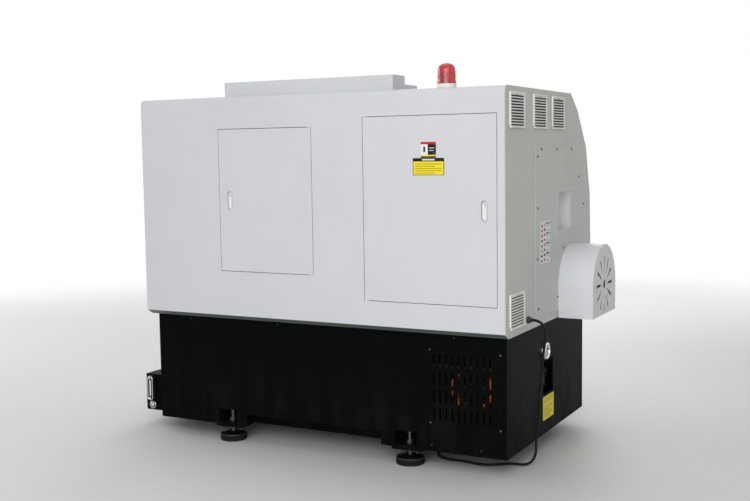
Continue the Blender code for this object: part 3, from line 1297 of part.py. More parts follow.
def build_bed():
    """Make the slanted bed with its two ways and the bearing blocks of the carriage's screw."""
    floor = -WAY_DROP - WAY_RISE
    ways = []
    for low, high in (LOWER_WAY, UPPER_WAY):
        ways += [(low, floor), (low, -WAY_DROP), (high, -WAY_DROP), (high, floor)]
    outline = [slanted(*point) for point in ways[1:] + [(BED_CREST, floor)]]
    crest = slanted(BED_CREST, floor)
    toe = slanted(LOWER_WAY[0], -WAY_DROP)
    sole = DECK_HEIGHT + GAP
    outline.append((crest[0] - BED_BACK_FLAT, crest[1]))
    outline.append((crest[0] - BED_BACK_FLAT, crest[1] - BED_TAPER))
    outline.append((crest[0] - BED_BACK_FLAT - BED_TAPER, sole))
    outline.append((toe[0], sole))
    bed = section("slant_bed", [outline], (BED_START, BED_END), GREY_CASTING)
    screw_rise = screw_centre()
    bearing_slopes = grown((SCREW_SLOPE,) * 2, SCREW_BLOCK_HALF)
    bearing_rises = (floor - SCREW_BLOCK_RISE, -WAY_DROP + SCREW_BLOCK_RISE)
    bearing_outline = [slanted(*point) for point in rectangle(bearing_slopes, bearing_rises)]
    for index, start in enumerate((SCREW_START, BED_END - SCREW_BLOCK)):
        span = (start, start + SCREW_BLOCK - WELD)
        join(bed, section(f"screw_block_{index}", [bearing_outline], span, helper=True))
    depth, height = slanted(SCREW_SLOPE, screw_rise)
    line = place(0, depth, height)
    hole = SCREW_RADIUS + RUNNING_GAP
    head_block = grown((SCREW_START, SCREW_START + SCREW_BLOCK), OVERRUN)
    tail_block = grown((BED_END - SCREW_BLOCK, BED_END), OVERRUN)
    cut(bed, cylinder("screw_hole_head", hole, *head_block, line, ROW))
    cut(bed, cylinder("screw_hole_tail", hole, *tail_block, line, ROW))

    profile = [
        (0, BED_END - GAP),
        (SCREW_RADIUS, BED_END - GAP),
        (SCREW_RADIUS, SCREW_START + GAP),
        (0, SCREW_START + GAP),
    ]
    screw = turned("feed_screw", profile, line, ROW, GROUND_STEEL, steps=SEGMENTS // 2)
    pivot("feed_screw_turn", line, screw)
    half = FEED_MOTOR_SIDE / 2
    corners = rectangle(grown((SCREW_SLOPE,) * 2, half), grown((screw_rise,) * 2, half))
    span = (BED_END + GAP, BED_END + GAP + FEED_MOTOR_LENGTH)
    section("feed_motor", [[slanted(*corner) for corner in corners]], span, BLACK_PLASTIC)


def screw_centre():
    """Rise of the screw's line: midway between the bed's face and the ways' tops."""
    return -WAY_DROP - WAY_RISE / 2


def slope_normal():
    """World direction square to the slope, towards the operator."""
    return Vector((0, -math.sin(SLANT), math.cos(SLANT)))


def across_slope(name, outline, slopes, finish=None, helper=False):
    """Extrude an outline of (u, rise) up the slope, over a span of slope lengths."""
    line = place(0, SPINDLE_DEPTH, SPINDLE_HEIGHT)
    frame = frame_matrix(line, ROW, slope_normal())
    return flat_piece(name, [outline], -slopes[1], -slopes[0], frame, finish, helper)


def dovetail(margin, low, high):
    """Outline of the dovetail between carriage and cross slide, grown by a margin."""
    centre = middle(CARRIAGE_SPAN)
    narrow = DOVETAIL_HALF - DOVETAIL_UNDERCUT + margin
    wide = DOVETAIL_HALF + margin
    return [(centre - narrow, low), (centre + narrow, low), (centre + wide, high), (centre - wide, high)]


def build_carriage():
    """Make the carriage with its cross-feed motor, the cross slide with its housing, and the turret."""
    low, high = CARRIAGE_SLOPE
    foot = -WAY_DROP + GAP
    top = -WAY_DROP + CARRIAGE_RISE
    outline = [slanted(*p) for p in ((low, foot), (high, foot), (high, top), (low, top))]
    carriage = section("carriage", [outline], CARRIAGE_SPAN, GREY_CASTING)
    root = top - CASTING_SINK
    male = dovetail(0, root, top + DOVETAIL_RISE)
    male_slopes = grown((low, high), -DOVETAIL_END_INSET)
    join(carriage, across_slope("dovetail", male, male_slopes, helper=True))
    half = CROSS_MOTOR_SIDE / 2
    centre_u = middle(CARRIAGE_SPAN)
    motor_rise = root - half
    motor = [(centre_u - half, motor_rise - half), (centre_u + half, motor_rise - half)]
    motor += [(centre_u + half, motor_rise + half), (centre_u - half, motor_rise + half)]
    motor_slopes = (high - CASTING_SINK, high + CROSS_MOTOR_LENGTH)
    join(carriage, across_slope("cross_motor", motor, motor_slopes, helper=True))
    pivot("carriage_slide", place(middle(CARRIAGE_SPAN), SPINDLE_DEPTH, SPINDLE_HEIGHT), carriage)

    sole = top + GAP
    face = sole + CROSS_RISE
    slab = [slanted(*point) for point in rectangle(CROSS_SLOPE, (sole, face))]
    slide = section("cross_slide", [slab], CARRIAGE_SPAN, GREY_CASTING)
    half = TURRET_HOUSING_HALF
    corner = DOVETAIL_RISE
    sides = (TURRET_SLOPE - half, TURRET_SLOPE + half)
    sunk = face - CASTING_SINK
    housing = [(sides[0], sunk), (sides[1], sunk), (sides[1], half - corner), (sides[1] - corner, half)]
    housing += [(sides[0] + corner, half), (sides[0], half - corner)]
    housing_outline = [slanted(*p) for p in housing]
    join(slide, section("turret_housing", [housing_outline], TURRET_HOUSING_SPAN, helper=True))
    female = dovetail(RUNNING_GAP, root, top + DOVETAIL_RISE + RUNNING_GAP)
    cut(slide, across_slope("dovetail_groove", female, grown(CROSS_SLOPE, OVERRUN), helper=True))
    depth, height = slanted(TURRET_SLOPE, 0)
    line = place(0, depth, height)
    pivot("cross_slide_slide", line, slide)

    disc_end = TURRET_HOUSING_SPAN[0] - TURRET_STEM_LENGTH
    disc_start = disc_end - TURRET_DISC_THICKNESS
    turn = math.tau / TURRET_STATIONS
    corners = circle((depth, height), TURRET_DISC_RADIUS / math.cos(turn / 2), TURRET_STATIONS)
    disc = section("turret_disc", [corners], (disc_start, disc_end), GROUND_STEEL)
    stem_end = TURRET_HOUSING_SPAN[0] - GAP
    join(disc, cylinder("turret_stem", TURRET_STEM_RADIUS, disc_end - CASTING_SINK, stem_end, line, ROW))
    tools = []
    holders = []
    for index in range(TURRET_STATIONS):
        angle = turn * (index + TURRET_TURN_SHARE)
        out = Vector((0, -math.cos(angle), math.sin(angle)))
        side = Vector(ROW).cross(out)
        frame = Matrix((Vector(ROW), out, side)).transposed()
        along = (disc_start + disc_end) / 2
        holder_reach = TURRET_DISC_RADIUS - TOOL_SINK + TOOL_BLOCK_REACH / 2
        holder_centre = line + Vector(ROW) * along + out * holder_reach
        holder_size = (TURRET_DISC_THICKNESS * TOOL_BLOCK_SHARE, TOOL_BLOCK_REACH, TOOL_WIDTH)
        holders.append((holder_centre, frame, holder_size))
        tool_reach = TURRET_DISC_RADIUS - TOOL_SINK + TOOL_REACH / 2
        tool_centre = line + Vector(ROW) * along + out * tool_reach
        tools.append((tool_centre, frame, (TOOL_HEIGHT, TOOL_REACH, TOOL_HEIGHT)))
    join(disc, blocks("tool_holders", holders, helper=True))
    join(disc, blocks("tools", tools, helper=True))
    pivot("turret_turn", line, disc)


def build_tailstock():
    """Make the tailstock and its quill with the fixed centre."""
    end = ENCLOSURE_LENGTH - TAILSTOCK_TAIL_SPACE
    start = end - TAILSTOCK_LENGTH
    low, high = TAILSTOCK_SLOPE
    foot = -WAY_DROP + GAP
    half = TAILSTOCK_HALF
    waist = TAILSTOCK_RISE + TAILSTOCK_RISE / 2
    slab = CARRIAGE_RISE * TAILSTOCK_SLAB_SHARE
    outline = [(low, foot), (high, foot), (high, foot + slab), (half, -waist)]
    outline += [(half, TAILSTOCK_RISE / 2), (half / 2, TAILSTOCK_RISE), (-half / 2, TAILSTOCK_RISE)]
    outline += [(-half, TAILSTOCK_RISE / 2), (-half, -waist), (low, foot + slab)]
    stock = section("tailstock", [[slanted(*p) for p in outline]], (start, end), GREY_CASTING)
    line = place(0, SPINDLE_DEPTH, SPINDLE_HEIGHT)
    hole = QUILL_RADIUS + BEARING_CLEARANCE
    cut(stock, cylinder("quill_bore", hole, start - OVERRUN, end + OVERRUN, line, ROW, steps=SEGMENTS * 2))
    pivot("tailstock_slide", place(start, SPINDLE_DEPTH, SPINDLE_HEIGHT), stock)
    nose = start - QUILL_OUT
    profile = [
        (0, end - QUILL_BACK),
        (QUILL_RADIUS, end - QUILL_BACK),
        (QUILL_RADIUS, nose),
        (QUILL_RADIUS * QUILL_CENTRE_SHARE, nose),
        (QUILL_TIP_RADIUS, nose - QUILL_CONE),
        (0, nose - QUILL_CONE),
    ]
    quill = turned("tailstock_quill", profile, line, ROW, GROUND_STEEL)
    pivot("quill_slide", place(nose, SPINDLE_DEPTH, SPINDLE_HEIGHT), quill)


def door_path():
    """Path of the sliding door's section, from its top over the brow down to the lower track."""
    foot = TRACK_HEIGHT + TRACK_THICKNESS + GAP
    return [toward(BROW, SHOULDER, DOOR_TOP_LAP), BROW, CHEST, BELLY, (BELLY_DEPTH, foot)]


def face_frame(top, bottom, outward):
    """Frame on a sloping face: X along the row, Y up the face, Z out of it, with its origin at the top."""
    start = Vector(top)
    run = (Vector(bottom) - start).normalized()
    normal = Vector((-run.y, run.x))
    corner = start + normal * outward
    up = Vector((0, run.x, -run.y))
    return frame_matrix(place(0, corner.x, corner.y), ROW, up), (Vector(bottom) - start).length


def build_front_door():
    """Make the sliding door with its handle, and the pane that sits in it."""
    outer = DOOR_STANDOFF + DOOR_THICKNESS
    span = grown(DOORWAY_SPAN, DOOR_LAP)
    door = section("sliding_door", [folded_sheet(door_path(), DOOR_STANDOFF, outer)], span, WHITE_PAINT)
    frame, length = face_frame(BROW, CHEST, outer)
    low = -length + PANE_MARGIN
    high = -PANE_MARGIN
    pane_outline = rectangle(PANE_SPAN, (low, high))
    ledge = rectangle(grown(PANE_SPAN, -PANE_LEDGE), (low + PANE_LEDGE, high - PANE_LEDGE))
    recess = rectangle(grown(PANE_SPAN, GAP), (low - GAP, high + GAP))
    cut(door, flat_piece("pane_recess", [recess], -PANE_THICKNESS - GAP, OVERRUN, frame, helper=True))
    cut(door, flat_piece("pane_opening", [ledge], -DOOR_THICKNESS - OVERRUN, OVERRUN, frame, helper=True))
    bottom, top = HANDLE_HEIGHTS
    outside = BELLY_DEPTH + HANDLE_REACH
    inside = BELLY_DEPTH + DOOR_STANDOFF + DOOR_THICKNESS / 2
    thick = HANDLE_RADIUS * 2
    bar = [(inside, bottom), (outside - thick, bottom), (outside, bottom + thick), (outside, top - thick)]
    bar += [(outside - thick, top), (inside, top), (inside, top - thick)]
    bar.append((outside - thick, top - thick - HANDLE_RADIUS))
    bar += [(outside - thick, bottom + thick + HANDLE_RADIUS), (inside, bottom + thick)]
    handle_span = grown((HANDLE_U,) * 2, HANDLE_RADIUS)
    join(door, section("door_handle", [bar], handle_span, helper=True))
    pane = flat_piece("door_pane", [pane_outline], -PANE_THICKNESS, 0, frame, CLEAR_PANE)
    pivot("door_slide", place(span[0], BELLY_DEPTH, TRACK_HEIGHT), door, pane)


def build_console():
    """Make the operator panel and its controls."""
    top = toward(BROW, CHEST, (BROW_HEIGHT - CONSOLE_TOP))
    back = offset_path([top, CHEST, BELLY], GAP)
    face_top = (back[0][0] + CONSOLE_DEPTH, back[0][1])
    face_low = (back[-1][0] + CONSOLE_DEPTH, back[-1][1])
    console = section("operator_panel", [back + [face_low, face_top]], CONSOLE_SPAN, GREY_PLASTIC)
    frame, length = face_frame(face_top, face_low, 0)
    row = -length + CONTROL_ROW
    normal = (frame.to_3x3() @ Vector((0, 0, 1))).normalized()
    centre = middle(CONSOLE_SPAN)
    places = [frame @ Vector((centre + shift * CONTROL_SPACING, row, 0)) for shift in (-1, 0, 1)]

    stem = STOP_STEM_RADIUS
    hole_end = -STOP_SINK - STOP_TRAVEL - CONTROL_BOSS
    cut(console, cylinder("stop_hole", stem + CONTROL_GAP, hole_end, OVERRUN, places[0], normal))
    stop = [(0, STOP_HEIGHT), (STOP_RADIUS - CONTROL_BOSS, STOP_HEIGHT)]
    stop += [(STOP_RADIUS, STOP_HEIGHT - CONTROL_BOSS)]
    stop += [(STOP_RADIUS, STOP_STEM), (stem, STOP_STEM), (stem, -STOP_SINK), (0, -STOP_SINK)]
    pivot("stop_press", places[0], turned("emergency_stop", stop, places[0], normal, RED_PLASTIC))

    knob = [(0, KNOB_HEIGHT), (KNOB_RADIUS - CONTROL_BOSS, KNOB_HEIGHT)]
    knob += [(KNOB_RADIUS, KNOB_HEIGHT - CONTROL_BOSS), (KNOB_RADIUS, GAP), (0, GAP)]
    pivot("knob_turn", places[1], turned("mode_knob", knob, places[1], normal, BLACK_PLASTIC))

    wheel = [(0, WHEEL_HEIGHT), (WHEEL_RADIUS - CONTROL_BOSS, WHEEL_HEIGHT)]
    wheel += [(WHEEL_RADIUS, WHEEL_HEIGHT - CONTROL_BOSS), (WHEEL_RADIUS, GAP), (0, GAP)]
    hand = turned("feed_handwheel", wheel, places[2], normal, BLACK_PLASTIC)
    grip_place = places[2] + Vector(ROW) * WHEEL_RADIUS * WHEEL_GRIP_OFFSET_SHARE
    grip_top = WHEEL_HEIGHT + WHEEL_GRIP_HEIGHT
    reach = (WHEEL_HEIGHT / 2, grip_top)
    join(hand, cylinder("wheel_grip", WHEEL_GRIP_RADIUS, *reach, grip_place, normal, steps=PIN_SEGMENTS))
    pivot("handwheel_turn", places[2], hand)


def build_tank():
    """Make the coolant tank that draws out at the tailstock end, and its level gauge."""
    span = (TANK_START, ENCLOSURE_LENGTH + TANK_REACH)
    heights = (TANK_BOTTOM, TANK_BOTTOM + TANK_HEIGHT)
    tank = block("coolant_tank", span, TANK_DEPTHS, heights, BLACK_PAINT)
    inner_span = (span[0] + TANK_WALL, span[1] - TANK_WALL)
    inner_depths = grown(TANK_DEPTHS, -TANK_WALL)
    inner_heights = (heights[0] + TANK_WALL, heights[1] - TANK_WALL)
    cut(tank, block("tank_hollow", inner_span, inner_depths, inner_heights, helper=True))
    mouth_span = (inner_span[0], span[1] - TANK_REACH - TANK_LID / 2)
    mouth_heights = (heights[1] - OVERRUN, heights[1] + OVERRUN)
    cut(tank, block("tank_mouth", mouth_span, inner_depths, mouth_heights, helper=True))

    centre = (span[1] - LEVEL_INSET, LEVEL_CENTRE_HEIGHT)
    spans = grown((centre[0],) * 2, LEVEL_WIDTH / 2)
    back = TANK_DEPTHS[0] - GAP
    edge = LEVEL_CHAMFER
    low, high = grown((centre[1],) * 2, LEVEL_HEIGHT / 2)
    left, right = spans
    body = [(left + edge, low), (right - edge, low), (right, low + edge), (right, high - edge)]
    body += [(right - edge, high), (left + edge, high), (left, high - edge), (left, low + edge)]
    gauge = wall("level_gauge", [body], (back - LEVEL_THICKNESS, back), BLACK_PLASTIC)
    groove = rectangle(
        grown((centre[0],) * 2, LEVEL_GROOVE_WIDTH / 2),
        grown((centre[1],) * 2, LEVEL_HEIGHT * LEVEL_GROOVE_SHARE / 2),
    )
    depths = (back - LEVEL_THICKNESS - OVERRUN, back - LEVEL_THICKNESS + LEVEL_GROOVE_DEPTH)
    cut(gauge, wall("level_groove", [groove], depths, helper=True))
    pivot("tank_slide", place(span[1], TANK_DEPTHS[0], TANK_BOTTOM), tank, gauge)


def build_grille_and_fan():
    """Make the slotted panel in the base's back and the cooling fan behind it."""
    outlines = [rectangle(GRILLE_SPAN, GRILLE_HEIGHT)]
    first = middle(GRILLE_HEIGHT) - SLOT_ROW_PITCH * (SLOT_ROWS - 1) / 2
    for column in range(SLOT_COLUMNS):
        across = SLOT_START + SLOT_COLUMN_PITCH * column
        for row in range(SLOT_ROWS):
            up = first + SLOT_ROW_PITCH * row
            slot_span = grown((across,) * 2, SLOT_WIDTH / 2)
            outlines.append(rectangle(slot_span, grown((up,) * 2, SLOT_HEIGHT / 2)))
    front = BASE_BACK_DEPTH - GAP
    wall("grille_panel", outlines, (front - GRILLE_THICKNESS, front), BLACK_PAINT)

    inner = BASE_BACK_DEPTH + BASE_PLATE + GAP
    centre = (FAN_U, FAN_HEIGHT)
    rings = [circle(centre, FAN_RADIUS, SEGMENTS), circle(centre, FAN_BORE, SEGMENTS)]
    ring = wall("fan_ring", rings, (inner + FAN_BAR_SINK, inner + FAN_DEPTH), ORANGE_PAINT)
    for side in (-1, 1):
        heights = grown((FAN_HEIGHT + side * FAN_BAR_OFFSET,) * 2, FAN_BAR_HEIGHT / 2)
        for end in (-1, 1):
            chord = math.sqrt(FAN_RADIUS**2 - FAN_BAR_OFFSET**2) - FAN_BAR_ROOT
            bar_span = (FAN_BAR_SPAN[0], FAN_U - chord) if end < 0 else (FAN_U + chord, FAN_BAR_SPAN[1])
            bar = block("fan_bar", bar_span, (inner, inner + FAN_BAR_THICKNESS), heights, helper=True)
            join(ring, bar)
    spider_depths = (inner + FAN_DEPTH - FAN_SPIDER, inner + FAN_DEPTH - FAN_BAR_SINK)
    reach = (FAN_BORE + FAN_RADIUS) / 2
    across = grown((FAN_U,) * 2, reach)
    thin = grown((FAN_HEIGHT,) * 2, FAN_SPIDER_WIDTH / 2)
    join(ring, block("spider_across", across, spider_depths, thin, helper=True))
    tall = grown((FAN_HEIGHT,) * 2, reach)
    narrow = grown((FAN_U,) * 2, FAN_SPIDER_WIDTH / 2)
    join(ring, block("spider_upright", narrow, spider_depths, tall, helper=True))

    hub_front = inner + FAN_SPIDER
    hub_back = spider_depths[0] - GAP
    line = place(FAN_U, 0, FAN_HEIGHT)
    hub = [(0, -hub_front), (FAN_HUB, -hub_front), (FAN_HUB, -hub_back), (0, -hub_back)]
    rotor = turned("fan_rotor", hub, line, TO_BACK, BLACK_PLASTIC)
    blades = []
    tip = FAN_BORE - BLADE_TIP_CLEAR
    for index in range(FAN_BLADES):
        angle = math.tau * index / FAN_BLADES
        out = Vector((math.cos(angle), 0, math.sin(angle)))
        side = Vector((0, 1, 0)).cross(out)
        lean = Matrix.Rotation(BLADE_PITCH, 3, out)
        frame = lean @ Matrix((out, Vector((0, 1, 0)), side)).transposed()
        inner_radius = FAN_HUB * BLADE_ROOT_SHARE
        centre_point = line + out * (tip + inner_radius) / 2
        centre_point.y = place(0, middle((hub_front, hub_back)), 0).y
        blades.append((centre_point, frame, (tip - inner_radius, BLADE_CHORD, BLADE_THICKNESS)))
    join(rotor, blocks("fan_blades", blades, helper=True))
    pivot("fan_turn", line, rotor)


def build_fittings():
    """Make the sight glass on the base's end and the supply cable's gland."""
    face = BASE_SPAN[0] - GAP
    rim = SIGHT_RADIUS
    lens = rim * SIGHT_LENS_SHARE
    profile = [
        (0, SIGHT_PROUD - SIGHT_LENS_DROP),
        (lens, SIGHT_PROUD - SIGHT_LENS_DROP),
        (lens, SIGHT_PROUD),
        (rim - SIGHT_LENS_DROP, SIGHT_PROUD),
        (rim, SIGHT_PROUD - SIGHT_LENS_DROP),
        (rim, 0),
        (0, 0),
    ]
    turned("sight_glass", profile, place(face, SIGHT_DEPTH, SIGHT_HEIGHT), TO_HEAD, CHROME)

    inner = -SHEET - GAP
    gland = [
        (0, GLAND_REACH),
        (GLAND_TIP_RADIUS, GLAND_REACH),
        (GLAND_DOME_RADIUS, GLAND_REACH - GLAND_NUT_HEIGHT),
        (GLAND_DOME_RADIUS, GLAND_NUT_HEIGHT),
        (GLAND_RADIUS, GLAND_NUT_HEIGHT),
        (GLAND_RADIUS, GAP),
        (CABLE_RADIUS, GAP),
        (CABLE_RADIUS, inner),
        (LOCK_NUT_RADIUS, inner),
        (LOCK_NUT_RADIUS, inner - LOCK_NUT_HEIGHT),
        (0, inner - LOCK_NUT_HEIGHT),
    ]
    half = SEGMENTS // 2
    turned("cable_gland", gland, place(0, GLAND_DEPTH, GLAND_HEIGHT), TO_HEAD, BLACK_PLASTIC, steps=half)


def smooth_route(points, steps):
    """Points along a smooth curve that passes through the given ones."""
    ends = [points[0] * 2 - points[1]] + points + [points[-1] * 2 - points[-2]]
    route = [points[0]]
    for before, start, end, after in zip(ends, ends[1:], ends[2:], ends[3:]):
        for step in range(1, steps):
            t = step / steps
            bend = (end - before) * t
            bend += (before * 2 - start * 5 + end * 4 - after) * t**2
            bend += (start * 3 - before - end * 3 + after) * t**3
            route.append(start + bend / 2)
        route.append(end)
    return route


def build_cable():
    """Lay the supply cable from its gland down to the floor and under the base, and make its plug."""
    start = place(-GLAND_REACH - GAP, GLAND_DEPTH, GLAND_HEIGHT)
    end = place(PLUG_START[0] - GAP, PLUG_START[1], PLUG_START[2])
    first = start + Vector(TO_HEAD) * CABLE_STUB
    last = end + Vector(TO_HEAD) * CABLE_STUB
    bends = smooth_route([first] + [place(*point) for point in CABLE_ROUTE] + [last], ROUTE_STEPS)
    lowest = CABLE_RADIUS + CABLE_CLEAR
    kept = [start]
    for spot in bends:
        apart = (spot - kept[-1]).length
        if spot is first or spot is last or apart > ROUTE_PITCH and (last - spot).length > ROUTE_PITCH / 2:
            kept.append(spot)
    kept.append(end)
    curve = bpy.data.curves.new("power_cable", "CURVE")
    curve.dimensions = "3D"
    curve.bevel_depth = CABLE_RADIUS
    curve.bevel_resolution = CABLE_SIDES
    curve.use_fill_caps = True
    spline = curve.splines.new("POLY")
    spline.points.add(len(kept) - 1)
    for point, spot in zip(spline.points, kept):
        point.co = (spot.x, spot.y, max(spot.z, lowest), 1)
    curve.materials.append(BLACK_RUBBER)
    cable = bpy.data.objects.new("power_cable", curve)
    PARTS.objects.link(cable)

    cup = PLUG_LENGTH - PLUG_CUP_DEPTH
    collar = PLUG_LENGTH - PLUG_COLLAR_LENGTH
    profile = [
        (0, cup),
        (PLUG_RADIUS - PLUG_WALL, cup),
        (PLUG_RADIUS - PLUG_WALL, PLUG_LENGTH),
        (PLUG_RADIUS, PLUG_LENGTH),
        (PLUG_RADIUS, collar),
        (PLUG_BODY_RADIUS, collar - PLUG_WALL),
        (PLUG_BODY_RADIUS, PLUG_GRIP_LENGTH + PLUG_WALL),
        (PLUG_GRIP_RADIUS, PLUG_GRIP_LENGTH),
        (PLUG_GRIP_RADIUS, 0),
        (0, 0),
    ]
    socket = place(*PLUG_START)
    plug = turned("cable_plug", profile, socket, ROW, BLACK_PLASTIC)
    for index in range(PIN_COUNT):
        angle = math.tau * index / PIN_COUNT + math.pi / PIN_COUNT
        centre = socket + Vector((0, math.cos(angle), math.sin(angle))) * PIN_CIRCLE
        reach = (cup - PIN_LENGTH / 2, cup + PIN_LENGTH)
        join(plug, cylinder("plug_pin", PIN_RADIUS, *reach, centre, ROW, steps=PIN_SEGMENTS))


def build():
    """Build the whole machine."""
    clear_scene()
    build_base()
    build_feet()
    build_enclosure()
    build_end_details()
    build_roof_pieces()
    build_back_door("electrical_door", "electrical_latch", ELECTRICAL_SPAN, ELECTRICAL_HEIGHT, 1)
    build_back_door("service_door", "service_latch", SERVICE_SPAN, SERVICE_HEIGHT, -1)
    build_cabinet()
    build_headstock()
    build_drive()
    build_bed()
    build_carriage()
    build_tailstock()
    build_front_door()
    build_console()
    build_tank()
    build_grille_and_fan()
    build_fittings()
    build_cable()
    bpy.context.view_layer.update()


build()
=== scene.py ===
"""Looks of a compact slant-bed CNC turning lathe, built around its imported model.

Metres, +Z up. Places are given as (u, v, z) like the part's own: u along the row from the headstock end,
v from the back face towards the operator, z above the floor. A frame is a 4 x 4 matrix.
"""

from __future__ import annotations

import json
import logging
import math
from dataclasses import dataclass
from enum import Enum
from functools import cache

import bpy
import numpy as np
from mathutils import Matrix, Vector

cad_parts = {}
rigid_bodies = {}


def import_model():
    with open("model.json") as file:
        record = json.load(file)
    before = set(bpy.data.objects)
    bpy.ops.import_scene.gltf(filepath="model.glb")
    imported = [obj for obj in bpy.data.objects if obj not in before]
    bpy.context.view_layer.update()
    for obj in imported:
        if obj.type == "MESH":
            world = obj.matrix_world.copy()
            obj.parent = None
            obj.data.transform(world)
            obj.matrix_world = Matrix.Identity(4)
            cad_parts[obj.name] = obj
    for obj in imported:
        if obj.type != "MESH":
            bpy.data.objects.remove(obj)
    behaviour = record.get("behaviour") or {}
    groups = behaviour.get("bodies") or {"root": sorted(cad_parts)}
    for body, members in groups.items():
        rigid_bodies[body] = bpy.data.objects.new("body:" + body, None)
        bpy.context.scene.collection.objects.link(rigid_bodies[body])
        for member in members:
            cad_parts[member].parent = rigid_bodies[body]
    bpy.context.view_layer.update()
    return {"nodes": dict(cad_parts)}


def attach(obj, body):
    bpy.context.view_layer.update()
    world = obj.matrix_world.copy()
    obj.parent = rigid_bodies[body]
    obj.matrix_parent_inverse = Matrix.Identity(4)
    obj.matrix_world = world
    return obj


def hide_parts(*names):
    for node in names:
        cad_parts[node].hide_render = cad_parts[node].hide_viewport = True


LOG = logging.getLogger("lathe")
ORIGIN_U, ORIGIN_V = 0.972, 0.6595
TAU = math.tau
QUARTER = TAU / 4
LEAST_CORNER = 0.0002
SEAT = -0.0003
Array = np.ndarray
Tone = tuple[float, float, float]
Pair = tuple[float, float]
Triple = tuple[float, float, float]
Profile = list[Pair]


def place(u: float, v: float, z: float) -> Array:
    """Turn a place inside the machine into the model's own coordinates."""
    return np.array([u - ORIGIN_U, ORIGIN_V - v, z])


class Side(Enum):
    """Way that a piece faces: its outward direction and the direction that is up on it."""

    BACK = ((0.0, 1.0, 0.0), (0.0, 0.0, 1.0))
    BACK_UPRIGHT = ((0.0, 1.0, 0.0), (1.0, 0.0, 0.0))
    HEAD = ((-1.0, 0.0, 0.0), (0.0, 0.0, 1.0))
    TAIL = ((1.0, 0.0, 0.0), (0.0, 0.0, 1.0))
    TOP = ((0.0, 0.0, 1.0), (0.0, 1.0, 0.0))
    SHELF = ((0.0, 0.0, 1.0), (1.0, 0.0, 0.0))


def spot(side: Side | tuple[Triple, Triple], u: float, v: float, z: float) -> Array:
    """Frame of a piece fixed to a face: Z points out of the face and Y is up on it.

    Args:
        side: named side, or the pair of its outward and upward directions.
        u: place along the row.
        v: place from the back face.
        z: height.

    Returns:
        The frame.
    """
    out, up = np.array(side.value if isinstance(side, Side) else side, float)
    face = out / np.linalg.norm(out)
    rise = up - face * (up @ face)
    rise /= np.linalg.norm(rise)
    frame = np.eye(4)
    frame[:3] = np.column_stack([np.cross(rise, face), rise, face, place(u, v, z)])
    return frame


def shifts(*moves: tuple[float, ...]) -> Array:
    """Frames that only move a form, by each (x, y) or (x, y, z)."""
    frames = np.tile(np.eye(4), (len(moves), 1, 1))
    frames[:, : len(moves[0]), 3] = moves
    return frames


def mm(*points: Pair) -> Profile:
    """Points of a profile, given in millimetres."""
    return [(first / 1000, second / 1000) for first, second in points]


def even_angles(steps: int) -> Array:
    """Even angles round a full turn."""
    return np.arange(steps) * TAU / steps


def circle_frames(angles: Array, radius: float) -> Array:
    """Frames with their middles at (r cos t, r sin t), each turned so that its X points outwards.

    Args:
        angles: the angle of each frame.
        radius: distance from the middle.

    Returns:
        Array of frames.
    """
    frames = np.tile(np.eye(4), (len(angles), 1, 1))
    cos, sin = np.cos(angles), np.sin(angles)
    frames[:, 0, 0], frames[:, 1, 0], frames[:, 0, 1], frames[:, 1, 1] = cos, sin, -sin, cos
    frames[:, 0, 3], frames[:, 1, 3] = radius * cos, radius * sin
    return frames


class Term:
    """A shader value that can be added, multiplied and compared like a number."""

    def __init__(self, recipe: Recipe, socket: bpy.types.NodeSocket) -> None:
        """Wrap an output socket of a recipe's node."""
        self.recipe = recipe
        self.socket = socket

    def maths(self, operation: str, *values: Term | float) -> Term:
        """Add one Math node on this value and others."""
        return self.recipe.add("ShaderNodeMath", {"operation": operation}, dict(enumerate(values)))

    def __add__(self, other: Term | float) -> Term:
        """This value plus another."""
        return self.maths("ADD", self, other)

    def __mul__(self, other: Term | float) -> Term:
        """This value times another."""
        return self.maths("MULTIPLY", self, other)

    __radd__, __rmul__ = __add__, __mul__

    def __sub__(self, other: Term | float) -> Term:
        """This value less another."""
        return self.maths("SUBTRACT", self, other)

    def __rsub__(self, other: Term | float) -> Term:
        """Another value less this one."""
        return self.maths("SUBTRACT", other, self)

    def within(self, low: float, high: float) -> Term:
        """One between two edges, else nought."""
        return self.maths("GREATER_THAN", self, low) * self.maths("LESS_THAN", self, high)

    def fade(self, low: float, high: float) -> Term:
        """Rise smoothly from nought at low to one at high."""
        settings = {"interpolation_type": "SMOOTHSTEP", "clamp": True}
        values = {"Value": self, "From Min": low, "From Max": high}
        return self.recipe.add("ShaderNodeMapRange", settings, values)

    def sine(self, turns: float) -> Term:
        """Wave between nought and one with this many turns for each metre."""
        return self.maths("SINE", self * (TAU * turns)) * 0.5 + 0.5

    def part(self, axis: str) -> Term:
        """One component of a vector."""
        return self.recipe.add("ShaderNodeSeparateXYZ", {}, {"Vector": self}, axis)

    def stretched(self, scale: Triple) -> Term:
        """Coordinates scaled differently along each axis."""
        return self.recipe.add("ShaderNodeMapping", {}, {"Vector": self, "Scale": scale})

    def noise(self, scale: float, detail: float = 3.0, rough: float = 0.55) -> Term:
        """Noise between about nought and one at these coordinates."""
        values = {"Vector": self, "Scale": scale, "Detail": detail, "Roughness": rough}
        return self.recipe.add("ShaderNodeTexNoise", {}, values, "Fac")

    def mix(self, first: Term | Tone, second: Term | Tone) -> Term:
        """The first colour where this share is nought and the second where it is one."""
        return self.recipe.add("ShaderNodeMix", {"data_type": "RGBA"}, {6: first, 7: second, 0: self}, 2)

    def relief(self, depth: float, strength: float) -> Term:
        """Normal of a surface with this relief, its depth in metres."""
        values = {"Height": self, "Distance": depth, "Strength": strength}
        return self.recipe.add("ShaderNodeBump", {}, values, "Normal")


